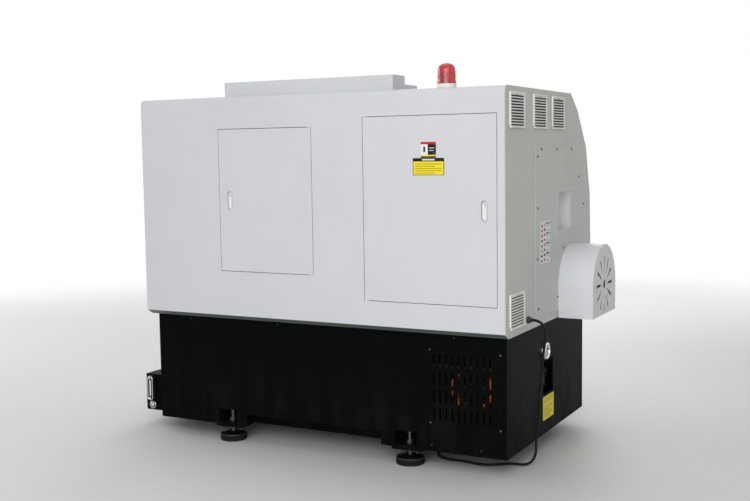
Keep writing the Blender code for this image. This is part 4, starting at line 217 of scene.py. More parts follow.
class Recipe:
    """Nodes of a material, or of the world, under construction."""

    def __init__(self, owner: bpy.types.Material | bpy.types.World) -> None:
        """Start on the owner's first nodes."""
        owner.use_nodes = True
        self.owner = owner
        self.nodes = owner.node_tree.nodes

    def fill(self, node: bpy.types.Node, inputs: dict) -> None:
        """Set or link a node's sockets.

        Args:
            node: the node.
            inputs: socket names or numbers, each with a Term or a value; a colour gets an alpha of one.
        """
        for name, value in inputs.items():
            socket = node.inputs[name]
            if isinstance(value, Term):
                self.owner.node_tree.links.new(value.socket, socket)
            else:
                socket.default_value = (*value, 1.0) if socket.type == "RGBA" else value

    def add(self, kind: str, settings: dict, inputs: dict, output: int | str = 0) -> Term:
        """Add a node: its settings first, then its inputs' values or links.

        Args:
            kind: the node's type.
            settings: attribute names and values.
            inputs: socket names or numbers with a value or a Term.
            output: the output that the returned Term stands for.

        Returns:
            The chosen output as a Term.
        """
        node = self.nodes.new(kind)
        for name, value in settings.items():
            setattr(node, name, value)
        self.fill(node, inputs)
        return Term(self, node.outputs[output])

    def seen(self) -> Term:
        """One for rays from the camera, from a reflection or through glass."""
        kinds = ("Is Camera Ray", "Is Glossy Ray", "Is Transmission Ray")
        camera, glossy, through = (self.add("ShaderNodeLightPath", {}, {}, kind) for kind in kinds)
        return camera.maths("MAXIMUM", camera.maths("MAXIMUM", camera, glossy), through)

    def show(self, first: Term, second: Term, share: Term, end: str) -> None:
        """Show two shaders, mixed by the second's share, at the output node of this name."""
        mix = self.add("ShaderNodeMixShader", {}, {0: share, 1: first, 2: second})
        self.fill(self.nodes[end], {"Surface": mix})


def shade(red: int, green: int, blue: int) -> Tone:
    """Linear colour of a screen colour given from 0 to 255."""
    values = np.array([red, green, blue]) / 255
    return tuple(np.where(values <= 0.04045, values / 12.92, ((values + 0.055) / 1.055) ** 2.4).tolist())


Sockets = dict[str, Term | float | Tone]


@dataclass(frozen=True)
class Stretch:
    """Stretch of a coat painted another tone between two places along an axis; used here for painted shade
    and painted light.
    """

    axis: str
    low: float
    high: float
    colour: Tone


@dataclass(frozen=True)
class Finish:
    """A finish: its name, the record's slot of the pieces that wear it and its main colour."""

    name: str
    slot: str
    colour: Tone

    @cache
    def make(self) -> bpy.types.Material:
        """Build the material, once."""
        recipe = Recipe(bpy.data.materials.new(self.name))
        where = recipe.add("ShaderNodeTexCoord", {}, {}, "Object")
        recipe.fill(recipe.nodes["Principled BSDF"], self.sockets(where))
        return recipe.owner

    def darker(self, share: float, lift: float = 0.0) -> Tone:
        """The main colour times a share, lifted a little."""
        return tuple(part * share + lift for part in self.colour)

    def sockets(self, where: Term) -> Sockets:
        """Values and Terms for the surface shader's sockets, from Object coordinates in metres."""
        return {"Base Color": self.colour}


@dataclass(frozen=True)
class Enamel(Finish):
    """Sprayed enamel: orange peel, uneven sheen, dust low down and stretches of painted shade and painted
    light.
    """

    soiled: Tone = shade(150, 148, 140)
    sheen: float = 0.44
    gloss: float = 0.3
    dust_top: float = 0.8
    dust: float = 0.1
    peel: float = 0.00012
    stretches: tuple[Stretch, ...] = ()

    def sockets(self, where: Term) -> Sockets:
        """Sockets of enamel."""
        broad = where.noise(2.3, 4.0)
        cloud = where.noise(9.0, 5.0, 0.65)
        run = where.stretched((1.0, 1.0, 0.12)).noise(14.0, 4.0, 0.6)
        low = 1.0 - where.part("Z").fade(self.dust_top - 0.42, self.dust_top)
        grime = (cloud * 0.5 + run * 0.7).fade(0.48, 0.86) * (low * self.dust + 0.02)
        tone = broad.fade(0.35, 0.72).mix(self.colour, self.darker(0.965))
        # painted shade and painted light: each stretch's tone replaces the coat's between its two places
        for item in self.stretches:
            tone = where.part(item.axis).within(item.low, item.high).mix(tone, item.colour)
        return {
            "Base Color": grime.mix(tone, self.soiled),
            "Roughness": grime * 0.9 + cloud * 0.1 + (self.sheen - 0.05),
            "Normal": (where.noise(420.0, 1.0, 0.4) + cloud * 0.6).relief(self.peel, 0.55),
            "Specular IOR Level": self.gloss,
        }


@dataclass(frozen=True)
class Casting(Finish):
    """Painted iron casting with a sandy, filled surface and oily stains."""

    def sockets(self, where: Term) -> Sockets:
        """Sockets of a painted casting."""
        wave = where.noise(18.0)
        stain = where.noise(6.0, 6.0, 0.7).fade(0.55, 0.75)
        dark = self.darker(0.45)
        return {
            "Base Color": (stain * 0.45).mix((wave.fade(0.4, 0.8) * 0.25).mix(self.colour, dark), dark),
            "Roughness": 0.55 - stain * 0.25,
            "Normal": (where.noise(260.0, 4.0, 0.7) + wave * 2.0).relief(0.0004, 0.7),
        }


class Grain(Enum):
    """Direction in which a metal surface was ground, as the stretch of its fine marks."""

    ALONG_ROW = (0.03, 1.0, 1.0)
    ACROSS = (1.0, 0.03, 1.0)
    NONE = (1.0, 1.0, 1.0)


@dataclass(frozen=True)
class Metal(Finish):
    """Bare or plated metal with fine working marks and handling smears."""

    sheen: float = 0.26
    grain: Grain = Grain.NONE
    marks: float = 0.00006
    stain: float = 0.2

    def sockets(self, where: Term) -> Sockets:
        """Sockets of metal."""
        fine = where.stretched(self.grain.value).noise(900.0, 2.0, 0.5)
        smear = where.noise(22.0, 4.0, 0.6)
        spots = where.noise(75.0, 2.0).fade(0.62, 0.74)
        worn = (smear.fade(0.45, 0.8) + spots * 0.4) * self.stain
        return {
            "Base Color": worn.mix(self.colour, self.darker(0.55)),
            "Metallic": 1.0,
            "Roughness": fine * 0.12 + smear * 0.14 + (self.sheen - 0.12),
            "Normal": fine.relief(self.marks, 0.6),
        }


@dataclass(frozen=True)
class Moulded(Finish):
    """Moulded plastic or rubber with a fine spark-eroded grain."""

    sheen: float = 0.46
    grain: float = 0.0001
    size: float = 650.0
    gloss: float = 0.5

    def sockets(self, where: Term) -> Sockets:
        """Sockets of a moulding."""
        cloud = where.noise(12.0, 4.0, 0.6)
        return {
            "Base Color": cloud.fade(0.4, 0.75).mix(self.colour, self.darker(0.82, 0.01)),
            "Roughness": cloud * 0.14 + (self.sheen - 0.07),
            "Normal": where.noise(self.size, 2.0, 0.5).relief(self.grain, 0.5),
            "Specular IOR Level": self.gloss,
        }


@dataclass(frozen=True)
class Clear(Finish):
    """Clear or tinted plastic or glass that light passes through."""

    sheen: float = 0.05
    index: float = 1.49
    share: float = 1.0
    coat: float = 0.0

    def sockets(self, where: Term) -> Sockets:
        """Sockets of a clear material."""
        return {
            "Base Color": self.colour,
            "IOR": self.index,
            "Transmission Weight": self.share,
            "Coat Weight": self.coat,
            "Coat Roughness": 0.02,
            "Roughness": where.noise(30.0, 4.0) * 0.1 + self.sheen,
            "Normal": where.noise(60.0, 1.0).relief(0.00004, 0.3),
        }


@dataclass(frozen=True)
class Field:
    """One flat colour field of a printed plate, in shares of its width and height."""

    left: float
    right: float
    low: float
    high: float
    colour: Tone


@dataclass(frozen=True)
class PrintedFoil(Finish):
    """Printed foil with plain colour fields, a little faded and scuffed."""

    fields: tuple[Field, ...]
    sheen: float = 0.42

    def sockets(self, where: Term) -> Sockets:
        """Sockets of a foil, whose fields follow the plate's own face map."""
        sheet = where.recipe.add("ShaderNodeUVMap", {"uv_map": "face"}, {})
        across, up = sheet.part("X"), sheet.part("Y")
        print_tone: Term | Tone = self.colour
        for item in self.fields:
            inside = across.within(item.left, item.right) * up.within(item.low, item.high)
            print_tone = inside.mix(print_tone, item.colour)
        scuff = where.noise(55.0, 5.0, 0.7).fade(0.55, 0.8)
        return {
            "Base Color": (scuff * 0.22).mix(print_tone, shade(196, 196, 190)),
            "Roughness": scuff * 0.2 + self.sheen,
            "Normal": where.noise(300.0, 2.0).relief(0.00004, 0.4),
            "Specular IOR Level": 0.12,
        }


@dataclass(frozen=True)
class RibbedBelt(Finish):
    """Black belt rubber with ribs that run along the belt."""

    dusty: Tone
    pitch: float = 0.0047

    def sockets(self, where: Term) -> Sockets:
        """Sockets of the belt."""
        dust = where.noise(40.0, 4.0)
        return {
            "Base Color": (dust.fade(0.5, 0.8) * 0.5).mix(self.colour, self.dusty),
            "Roughness": 0.62 + dust * 0.2,
            "Normal": where.part("X").sine(1 / self.pitch).relief(0.0012, 0.9),
        }


@dataclass(frozen=True)
class DarkScreen(Finish):
    """Dark glass with a faint lit field."""

    lit: Tone

    def sockets(self, where: Term) -> Sockets:
        """Sockets of the screen."""
        smear = where.noise(26.0, 5.0)
        return {
            "Base Color": smear.fade(0.4, 0.7).mix(self.colour, self.lit),
            "Roughness": smear * 0.12 + 0.06,
            "Coat Weight": 0.6,
            "Coat Roughness": 0.05,
        }


# painted shade: the second tone here is a darker, greener copy of the white paint, for the shaded headstock
# end panels; the third is their dirt
WHITE_TONE, SHADED_END_TONE, SHELL_DIRT = shade(213, 215, 219), shade(203, 206, 201), shade(140, 140, 132)
# painted shade: the downward-facing bottom lip of the back and front panels, between these heights, is
# painted dark grey-green for the shade under it
LIP_SHADE = Stretch("Z", 0.6, 0.6497, shade(96, 104, 100))
# painted light: paint inside the end cover's recessed pocket is made paler, for the light on its walls
POCKET_LIGHT = Stretch("X", -0.9695, 0.0, shade(226, 227, 229))
# painted shade: the fan ring's upper and lower bars, between these heights, are painted dark brown for the
# shade on them behind the grille
FAN_BAR_SHADE = tuple(Stretch("Z", low, high, shade(52, 34, 24)) for low, high in ((0.2, 0.302), (0.462, 0.6)))
WHITE = Enamel("white_enamel", "white_paint", WHITE_TONE)
SKIRT = Enamel("skirt_enamel_shaded_lip", "white_paint", WHITE_TONE, stretches=(LIP_SHADE,))
# painted light: a paler copy of the white paint, for the brighter-lit flank of the spindle guard
LIT_GUARD = Enamel("guard_enamel_lit", "white_paint", shade(228, 230, 234))
# painted shade: the headstock end panel's darker, greener copy of the white paint
SHADED_END = Enamel("end_enamel_shaded", "white_paint", SHADED_END_TONE, SHELL_DIRT)
# end cover: the darker end tone, with painted light inside its pocket
COVER = Enamel("cover_enamel", "white_paint", SHADED_END_TONE, SHELL_DIRT, stretches=(POCKET_LIGHT,))
BLACK = Enamel("black_enamel", "black_paint", shade(9, 12, 12), shade(40, 43, 40), 0.4, 0.02, 0.5, 0.26)
ORANGE_TONE, ORANGE_DIRT = shade(196, 106, 42), shade(120, 90, 60)
ORANGE = Enamel("orange_enamel", "orange", ORANGE_TONE, ORANGE_DIRT, 0.42, 0.5, stretches=FAN_BAR_SHADE)
CASTING = Casting("grey_casting_paint", "casting", shade(142, 148, 150))
STEEL = Metal("ground_steel_surface", "steel", shade(196, 198, 200), grain=Grain.ALONG_ROW)
TURNED = Metal("turned_steel", "steel", shade(190, 190, 190), 0.24, Grain.ACROSS)
DARK_STEEL = Metal("blackened_steel", "dark_steel", shade(62, 62, 64), 0.38)
FOOT_STEEL = Metal("foot_steel", "dark_steel", shade(96, 96, 96), 0.34, Grain.NONE, 0.0001, 0.4)
ZINC = Metal("zinc_plate", "dark_steel", shade(176, 178, 176), 0.36, Grain.NONE, 0.0001, 0.35)
CHROME = Metal("polished_chrome", "chrome", shade(222, 223, 224), 0.13, Grain.NONE, 0.00001, 0.08)
MIRROR = Metal("bright_reflector", "chrome", shade(244, 244, 242), 0.36, Grain.NONE, 0.00002, 0.05)
CREAM = Moulded("cream_plastic_grain", "cream_plastic", shade(244, 243, 238), 0.5)
FROST = Moulded("frosted_glass", "clear_pane", shade(244, 244, 240), 0.16, 0.00002)
# painted shade: a near-black sheet set behind the louvre blades and in the latches' key slots, where there is
# only shade
SHADE_SHEET = Moulded("dark_shade_sheet", "black_plastic", shade(26, 22, 20), 0.7, 0.0004, 900.0, 0.2)
BLACK_PLASTIC = Moulded("black_plastic_grain", "black_plastic", shade(30, 31, 33))
GREY_PLASTIC = Moulded("grey_plastic_grain", "grey_plastic", shade(132, 137, 140))
PALE_PLASTIC = Moulded("pale_key_plastic", "grey_plastic", shade(188, 190, 188), 0.44)
YELLOW_PLASTIC = Moulded("yellow_collar_plastic", "grey_plastic", shade(226, 184, 30), 0.42)
RUBBER = Moulded("black_rubber_sheath", "black_rubber", shade(17, 17, 18), 0.58, 0.0002, 300.0, 0.15)
RED = Moulded("red_button_plastic", "red_plastic", shade(190, 22, 30), 0.3, 0.00003)
RED_LENS = Clear("red_lens", "red_plastic", shade(192, 5, 22), 0.05, 1.49, 0.78, 0.55)
GLASS = Clear("clear_glazing", "clear_pane", shade(226, 236, 234), 0.03, 1.5)
BELT = RibbedBelt("ribbed_belt", "black_rubber", shade(26, 26, 27), shade(58, 57, 55))
SCREEN = DarkScreen("dark_screen", "black_plastic", shade(16, 22, 28), shade(30, 40, 48))

DRESSED: tuple[tuple[Finish, str], ...] = (
    # back and front panels: white paint with painted shade on the bottom lip
    (SKIRT, "back_panel front_panel"),
    (WHITE, "roof_panel roof_cover electrical_door service_door sliding_door"),
    (WHITE, "tail_end_panel electrical_cabinet"),
    # painted light: the guard wears the paler copy of the white paint
    (LIT_GUARD, "spindle_guard"),
    # painted shade: the headstock end panel wears the darker, greener copy of the white paint
    (SHADED_END, "head_end_panel"),
    # end cover: painted shade of the end tone, and painted light in its pocket
    (COVER, "end_cover"),
    (BLACK, "base_frame base_deck base_floor coolant_tank grille_panel"),
    (CASTING, "slant_bed headstock carriage cross_slide tailstock"),
    (TURNED, "spindle chuck motor_pulley tailstock_quill feed_screw"),
    (STEEL, "turret_disc"),
    (DARK_STEEL, "chuck_jaw_1 chuck_jaw_2 chuck_jaw_3 spindle_motor"),
    (FOOT_STEEL, "levelling_foot_1 levelling_foot_2 levelling_foot_3 levelling_foot_4"),
    (MIRROR, "lamp_reflector"),
    (CHROME, "sight_glass"),
    (CREAM, "electrical_latch service_latch lamp_base"),
    (CREAM, "vent_louvre_1 vent_louvre_2 vent_louvre_3 vent_louvre_4"),
    (BLACK_PLASTIC, "feed_motor fan_rotor cable_gland cable_plug level_gauge mode_knob feed_handwheel"),
    (GREY_PLASTIC, "drive_rack operator_panel"),
    (BELT, "drive_belt"),
    (RUBBER, "power_cable"),
    # fan ring: orange paint with painted shade on its upper and lower bars
    (ORANGE, "fan_ring"),
    (RED_LENS, "lamp_dome"),
    (RED, "emergency_stop"),
    (GLASS, "door_pane"),
)


@dataclass
class Solid:
    """Points and faces of one or more closed forms."""

    points: Array
    faces: list[tuple[int, ...]]

    def copied(self, frames: Array | list[Array]) -> Solid:
        """Repeat the form at each frame: every point is turned by the frame and moved to its place.

        Args:
            frames: one frame or several.

        Returns:
            The copies as one set of points and faces.
        """
        stack = np.reshape(frames, (-1, 4, 4))
        moved = np.einsum("kij,nj->kni", stack[:, :3, :3], self.points) + stack[:, None, :3, 3]
        starts = np.arange(len(stack)) * len(self.points)
        faces = [tuple(index + start for index in face) for start in starts.tolist() for face in self.faces]
        return Solid(moved.reshape(-1, 3), faces)

    def __add__(self, other: Solid) -> Solid:
        """This form and another as one set of points and faces."""
        faces = [tuple(index + len(self.points) for index in face) for face in other.faces]
        return Solid(np.concatenate([self.points, other.points]), self.faces + faces)


def skin(rings: Array, looped: bool = False) -> Solid:
    """Skin a stack of closed rings.

    Point (i, j) is joined to its neighbours (i, j + 1), (i + 1, j + 1) and (i + 1, j). Each end ring is
    closed by triangles to its own middle, or the last ring joins the first.

    Args:
        rings: array of shape (rings, points, 3), each ring anticlockwise seen from the end.
        looped: join the last ring to the first instead of closing both ends.

    Returns:
        The closed form.
    """
    count, size = rings.shape[:2]
    index = np.arange(count * size).reshape(count, size)
    points = rings.reshape(-1, 3)
    fans = []
    if looped:
        index = np.concatenate([index, index[:1]])
    else:
        points = np.concatenate([points, rings[[0, -1]].mean(axis=1)])
        low, high = np.full(size, count * size), np.full(size, count * size + 1)
        fans.append(np.stack([low, np.roll(index[0], -1), index[0]], axis=-1))
        fans.append(np.stack([high, index[-1], np.roll(index[-1], -1)], axis=-1))
    right = np.roll(index, -1, axis=1)
    quads = np.stack([index[:-1], right[:-1], right[1:], index[1:]], axis=-1).reshape(-1, 4)
    return Solid(points, [tuple(face) for block in (quads, *fans) for face in block.tolist()])


def lifted(flat: Array, heights: Array | list[float]) -> Array:
    """Rings in space: each flat ring of (x, y) raised to its own height."""
    rise = np.broadcast_to(np.reshape(heights, (-1, 1, 1)), (*flat.shape[:2], 1))
    return np.concatenate([flat, rise], axis=-1)


def round_rings(radii: Array, heights: Array | list[float], steps: int) -> Array:
    """Rings about Z: x = r cos t, y = r sin t, z = h.

    Args:
        radii: radius of each ring as a column, or of each point of each ring.
        heights: height of each ring.
        steps: points round a ring.

    Returns:
        Array of shape (rings, steps, 3).
    """
    angle = even_angles(steps)
    waves = np.stack([np.cos(angle), np.sin(angle)], axis=-1)
    return lifted(np.broadcast_to(radii, (len(heights), steps))[..., None] * waves, heights)


def turned(profile: Profile, steps: int = 32, looped: bool = False) -> Solid:
    """Turn (radius, height) pairs about Z: a profile listed upwards or, looped, a ring's closed section."""
    radius, height = np.array(profile, float).T
    return skin(round_rings(radius[:, None], height, steps), looped)


def ribs(count: int, start: float, pitch: float, tooth: Profile, taper: float = 0.0) -> Profile:
    """Repeat a tooth up a profile: each time the height gains the pitch and the radius loses the taper."""
    steps = range(count)
    return [(radius - step * taper, start + step * pitch + rise) for step in steps for radius, rise in tooth]


def plate(
    width: float, height: float, radius: float, profile: Profile, steps: int = 5, looped: bool = False
) -> Solid:
    """Carry an edge profile round a rectangle whose corners are quarter circles about centres inset by r.

    Args:
        width: size along the frame's X.
        height: size along the frame's Y.
        radius: corner radius, which each inset makes smaller.
        profile: (inset, height) pairs listed upwards; each makes one ring.
        steps: points at each corner.
        looped: the profile is closed, so that the form is an open frame.

    Returns:
        The closed form.
    """
    inset, rise = np.array(profile, float).T
    corner = np.maximum(radius - inset, LEAST_CORNER)
    half = np.stack([width / 2 - inset - corner, height / 2 - inset - corner], axis=-1)
    centres = half[:, None, None] * np.array([[1, 1], [-1, 1], [-1, -1], [1, -1]])[:, None]
    angle = np.arange(4)[:, None] * QUARTER + np.linspace(0, QUARTER, steps)
    flat = centres + corner[:, None, None, None] * np.stack([np.cos(angle), np.sin(angle)], axis=-1)
    return skin(lifted(flat.reshape(len(inset), -1, 2), rise), looped)


def soft_plate(width: float, height: float, radius: float, thick: float, edge: float) -> Solid:
    """Plate with a rounded upper edge: the inset follows 1 - cos and the rise sin of a quarter turn.

    One more ring lies just inside the edge at the full height, so the face shades flat.

    Args:
        width: size along X.
        height: size along Y.
        radius: corner radius.
        thick: thickness.
        edge: radius of the upper edge.

    Returns:
        The plate, its back on the frame's plane.
    """
    angle = np.linspace(0, QUARTER, 4)
    profile = [(edge * (1 - math.cos(a)), thick - edge + edge * math.sin(a)) for a in angle]
    return plate(width, height, radius, [(0.0, 0.0), *profile, (edge + 0.0004, thick)])


def slab(
    width: float, height: float, thick: float, lift: float = 0.0, aside: float = 0.0, edge: float = 0.0008
) -> Solid:
    """Block with eased edges: four rounded rectangles stacked, the outer two inset by the edge.

    Args:
        width: size along X.
        height: size along Y.
        thick: size along Z.
        lift: height of its middle.
        aside: distance of its middle along Y.
        edge: size of the eased edge.

    Returns:
        The block.
    """
    soft = min(edge, thick / 3)
    profile = [(soft, 0.0), (0.0, soft), (0.0, thick - soft), (soft, thick)]
    form = plate(width, height, max(soft * 1.5, 0.0006), profile, 3)
    return form.copied(shifts((0.0, aside, lift - thick / 2)))


def extruded(outline: Profile, low: float, high: float) -> Solid:
    """Carry a closed outline of (y, z), anticlockwise seen from +X, straight along X from low to high."""
    y, z = np.array(outline, float).T
    return skin(np.stack([np.column_stack([np.full(len(y), x), y, z]) for x in (low, high)]))


def hexagon(across: float, steps: int) -> Array:
    """Radius of a hexagon at even angles: half its width over cos of the angle from the nearest flat."""
    return across / 2 / np.cos(np.mod(even_angles(steps), math.pi / 3) - math.pi / 6)


def hexagon_head(across: float, thick: float, steps: int = 36) -> Solid:
    """Hexagon bolt head with a round top edge: two hexagons, then a circle as wide as its flats."""
    side = hexagon(across, steps)
    radii = np.stack([side, side, np.full(steps, across / 2)])
    return skin(round_rings(radii, [0.0, thick * 0.86, thick], steps))


def button_screw(radius: float, rise: float, steps: int = 24) -> Solid:
    """Button-head screw with a hexagon socket: a dome outside, then a hexagonal recess that ends in a cone.

    Args:
        radius: radius of the head.
        rise: height that its dome would reach without the socket.
        steps: points round the head.

    Returns:
        The head.
    """
    tilt = np.linspace(0, QUARTER * 0.78, 5)
    socket = hexagon(radius * 0.84, steps)
    radii = np.concatenate([np.tile(radius * np.cos(tilt)[:, None], steps), [socket, socket, socket * 0.1]])
    top = rise * math.sin(tilt[-1])
    heights = [*(rise * np.sin(tilt)), top, top - rise * 0.55, top - rise * 0.7]
    return skin(round_rings(radii, heights, steps))


def tube(path: Array, radius: float, steps: int) -> Solid:
    """Round tube along a path: each ring is its centre plus r cos t and r sin t along two directions.

    Both are square to the path and turn as little as possible from one point to the next.

    Args:
        path: the points of its middle.
        radius: its radius.
        steps: points round it.

    Returns:
        The closed tube.
    """
    tangent = np.gradient(path, axis=0)
    tangent /= np.linalg.norm(tangent, axis=1)[:, None]
    guide = np.array([0.0, 0.0, 1.0]) if abs(tangent[0, 2]) < 0.9 else np.array([0.0, 1.0, 0.0])
    sides = [np.cross(tangent[0], guide)]
    for direction in tangent:
        side = sides[-1] - direction * np.dot(sides[-1], direction)
        sides.append(side / np.linalg.norm(side))
    across = np.stack(sides[1:])
    angle = even_angles(steps)[None, :, None]
    ring = np.cos(angle) * across[:, None] + np.sin(angle) * np.cross(tangent, across)[:, None]
    return skin(path[:, None] + radius * ring)


def smooth_path(points: Array, start: Array, end: Array, spacing: float) -> Array:
    """Cubic spline through points, measured by the straight steps between them.

    Between two points the curve is a cubic whose bends at its ends solve the three-term equations that keep
    slope and bend the same on both sides of every point. The line is then evened once: a quarter, a half
    and a quarter of three neighbours.

    Args:
        points: the route's points.
        start: direction in which the line leaves the first point.
        end: direction in which it arrives at the last.
        spacing: distance between the returned points.

    Returns:
        Points along the curve.
    """
    gaps = np.linalg.norm(np.diff(points, axis=0), axis=1)
    along = np.concatenate([[0.0], np.cumsum(gaps)])
    slopes = np.concatenate([[start], np.diff(points, axis=0) / gaps[:, None], [end]])
    both = np.append(gaps, 0.0) + np.append(0.0, gaps)
    matrix = np.diag(gaps, 1) + np.diag(gaps, -1) + np.diag(2.0 * both)
    bends = np.linalg.solve(matrix, 6.0 * np.diff(slopes, axis=0))
    at = np.linspace(0.0, along[-1], round(along[-1] / spacing) + 1)
    low = np.clip(np.searchsorted(along, at, side="right") - 1, 0, len(gaps) - 1)
    gap = gaps[low, None]
    ahead, behind = along[low + 1, None] - at[:, None], at[:, None] - along[low, None]
    curve = (bends[low] * ahead**3 + bends[low + 1] * behind**3) / (6.0 * gap)
    curve += (points[low] / gap - bends[low] * gap / 6.0) * ahead
    curve += (points[low + 1] / gap - bends[low + 1] * gap / 6.0) * behind
    curve[1:-1] = (curve[:-2] + 2.0 * curve[1:-1] + curve[2:]) / 4.0
    return curve


def make_piece(
    name: str,
    form: Solid,
    finish: Finish,
    at: Array | list[Array] | None = None,
    body: str = "machine",
    stands_for: str = "",
    sharp: float = 35.0,
) -> bpy.types.Object:
    """Put a form into a mesh object that rides on a body.

    Args:
        name: the piece's name.
        form: its points and faces.
        finish: its finish.
        at: the frames it is repeated at, or none where its points are in place.
        body: the CAD body that it moves with.
        stands_for: the CAD node that it replaces, if any.
        sharp: angle in degrees above which an edge stays sharp.

    Returns:
        The new object.
    """
    if at is not None:
        form = form.copied(at)
    mesh = bpy.data.meshes.new(name)
    mesh.from_pydata(form.points.tolist(), [], form.faces)
    mesh.polygons.foreach_set("use_smooth", np.ones(len(mesh.polygons), dtype=bool))
    mesh.set_sharp_from_angle(angle=math.radians(sharp))
    mesh.materials.append(finish.make())
    mesh.update()
    piece = bpy.data.objects.new(name, mesh)
    bpy.context.scene.collection.objects.link(piece)
    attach(piece, body)
    if stands_for:
        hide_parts(stands_for)
    LOG.info("piece %s rides on %s", name, body)
    return piece


@dataclass
class ViewCamera:
    """Camera at the photograph's viewing angle."""

    position: Triple = (-2.5713, 4.8444, 1.4305)
    yaw: float = 27.932
    pitch: float = 5.305
    roll: float = 0.79
    lens: float = 51.09
    reach: float = 60.0

    def build(self) -> None:
        """Make the camera and choose it."""
        yaw, pitch, roll = (math.radians(angle) for angle in (self.yaw, self.pitch, self.roll))
        look = Vector((math.sin(yaw) * math.cos(pitch), -math.cos(yaw) * math.cos(pitch), -math.sin(pitch)))
        level = Vector((-math.cos(yaw), -math.sin(yaw), 0.0))
        rise = level.cross(look)
        right = level * math.cos(roll) - rise * math.sin(roll)
        upward = level * math.sin(roll) + rise * math.cos(roll)
        data = bpy.data.cameras.new("view")
        data.lens, data.clip_end = self.lens, self.reach
        camera = bpy.data.objects.new("view", data)
        turn = Matrix((right, upward, -look)).transposed().to_4x4()
        camera.matrix_world = Matrix.Translation(Vector(self.position)) @ turn
        bpy.context.scene.collection.objects.link(camera)
        bpy.context.scene.camera = camera


@dataclass
class SupplyCable:
    """Mains cable from its gland to the floor and under the base, with its plug; the route is in mm."""

    radius: float = 0.006
    exit: Triple = (-0.0243, 0.273, 0.676)
    stub: float = 0.006
    plug_start: Triple = (1.0597, 0.74, 0.0305)
    pin_spread: float = 0.015
    pin_seat: float = 0.0958
    route: tuple[Triple, ...] = (
        (-50.2, 273.4, 672), (-67.1, 273.8, 660.8), (-78.3, 274.1, 643.9), (-82.3, 274.5, 624),
        (-80, 276, 585), (-70, 279, 520), (-61, 283, 430), (-52, 287, 320), (-42, 291, 200), (-33, 293, 120),
        (-21, 294.1, 41), (-6.3, 294.7, 22.7), (13.9, 295.4, 10.7), (37, 296, 6.5), (75, 290, 6.5),
        (120, 262, 6.5), (160, 233, 6.5), (208, 218, 6.5), (256, 224, 6.5), (300, 232, 6.5),
        (344, 229, 6.5), (386, 234, 6.5), (430, 260, 6.5), (460, 312, 6.5), (474, 400, 6.5),
        (484, 560, 6.5), (516, 650, 6.5), (590, 712, 6.5), (700, 738, 6.5), (820, 740, 6.5),
        (900, 740, 9), (960, 740, 16), (1010, 740, 24.5),
    )

    def path(self) -> Array:
        """Points of the cable's middle, from the gland to the plug."""
        first, last = place(*self.exit), place(*self.plug_start)
        outward, onward = np.array([-1.0, 0.0, 0.0]), np.array([1.0, 0.0, 0.0])
        inner = np.array([place(*point) for point in np.array(self.route) / 1000])
        knots = np.concatenate([[first + outward * self.stub], inner, [last - onward * self.stub]])
        return np.concatenate([[first], smooth_path(knots, outward, onward, self.radius), [last]])

    def build(self) -> None:
        """Make the cable, its gland sleeve and its plug."""
        path = self.path()
        cable = make_piece("supply_cable", tube(path, self.radius, 14), RUBBER, stands_for="power_cable")
        plug = self.plug()
        self.gland()

    def plug(self) -> list[bpy.types.Object]:
        """Make the plug: a turned body with a ribbed grip and a screwed collar, and its pins."""
        here = spot(Side.TAIL, *self.plug_start)
        grip = ribs(6, 0.003, 0.0042, mm((11.8, 0), (11.8, 2.2), (10.4, 2.8), (10.4, 3.8)))
        waist = mm((12, 29.6), (22.5, 31.8), (23.8, 34), (23.8, 79), (24.6, 80))
        collar = ribs(8, 0.0822, 0.0042, mm((28.8, 0), (29.8, 1), (29.8, 2.6), (28.8, 3.6)))
        mouth = mm((29.2, 124), (29.8, 129.6), (27, 129.8), (26.8, 97), (4, 96.2))
        body = [(0.007, 0.0), (0.0112, 0.0004), *grip, *waist, *collar, *mouth]
        shell = make_piece("mains_plug", turned(body, 36), BLACK_PLASTIC, here, stands_for="cable_plug")
        pin = turned(mm((2, -0.5), (3.4, 0), (3.4, 27.5), (2.2, 29.6)), 14)
        out, seat = self.pin_spread, self.pin_seat
        spots = [(out * math.cos(a), out * math.sin(a), seat) for a in even_angles(4) + TAU / 8]
        pins = make_piece("plug_pins", pin, CHROME, here @ shifts(*spots))
        return [shell, pins]

    def gland(self) -> None:
        """Make the gland: a hexagon on the plate and a domed nut that tapers into a ribbed sleeve."""
        dome = mm((11, 6), (14.2, 6.2), (14.2, 10), (12.8, 13.6), (10.8, 15))
        dome += ribs(4, 0.0156, 0.0021, mm((10.6, 0), (10.6, 1), (9.6, 1.4)), 0.0007)
        nut = hexagon_head(0.03, 0.0068) + turned([*dome, (0.0068, 0.0238)], 28)
        here = spot(Side.HEAD, SEAT, *self.exit[1:])
        make_piece("gland_nut", nut, BLACK_PLASTIC, here, stands_for="cable_gland")
        inner = turned(mm((6.2, 0), (13.8, 0.2), (13.8, 5), (12, 6), (6.2, 6)), 28)
        make_piece("gland_lock_nut", inner, BLACK_PLASTIC, spot(Side.TAIL, 0.0033, *self.exit[1:]))


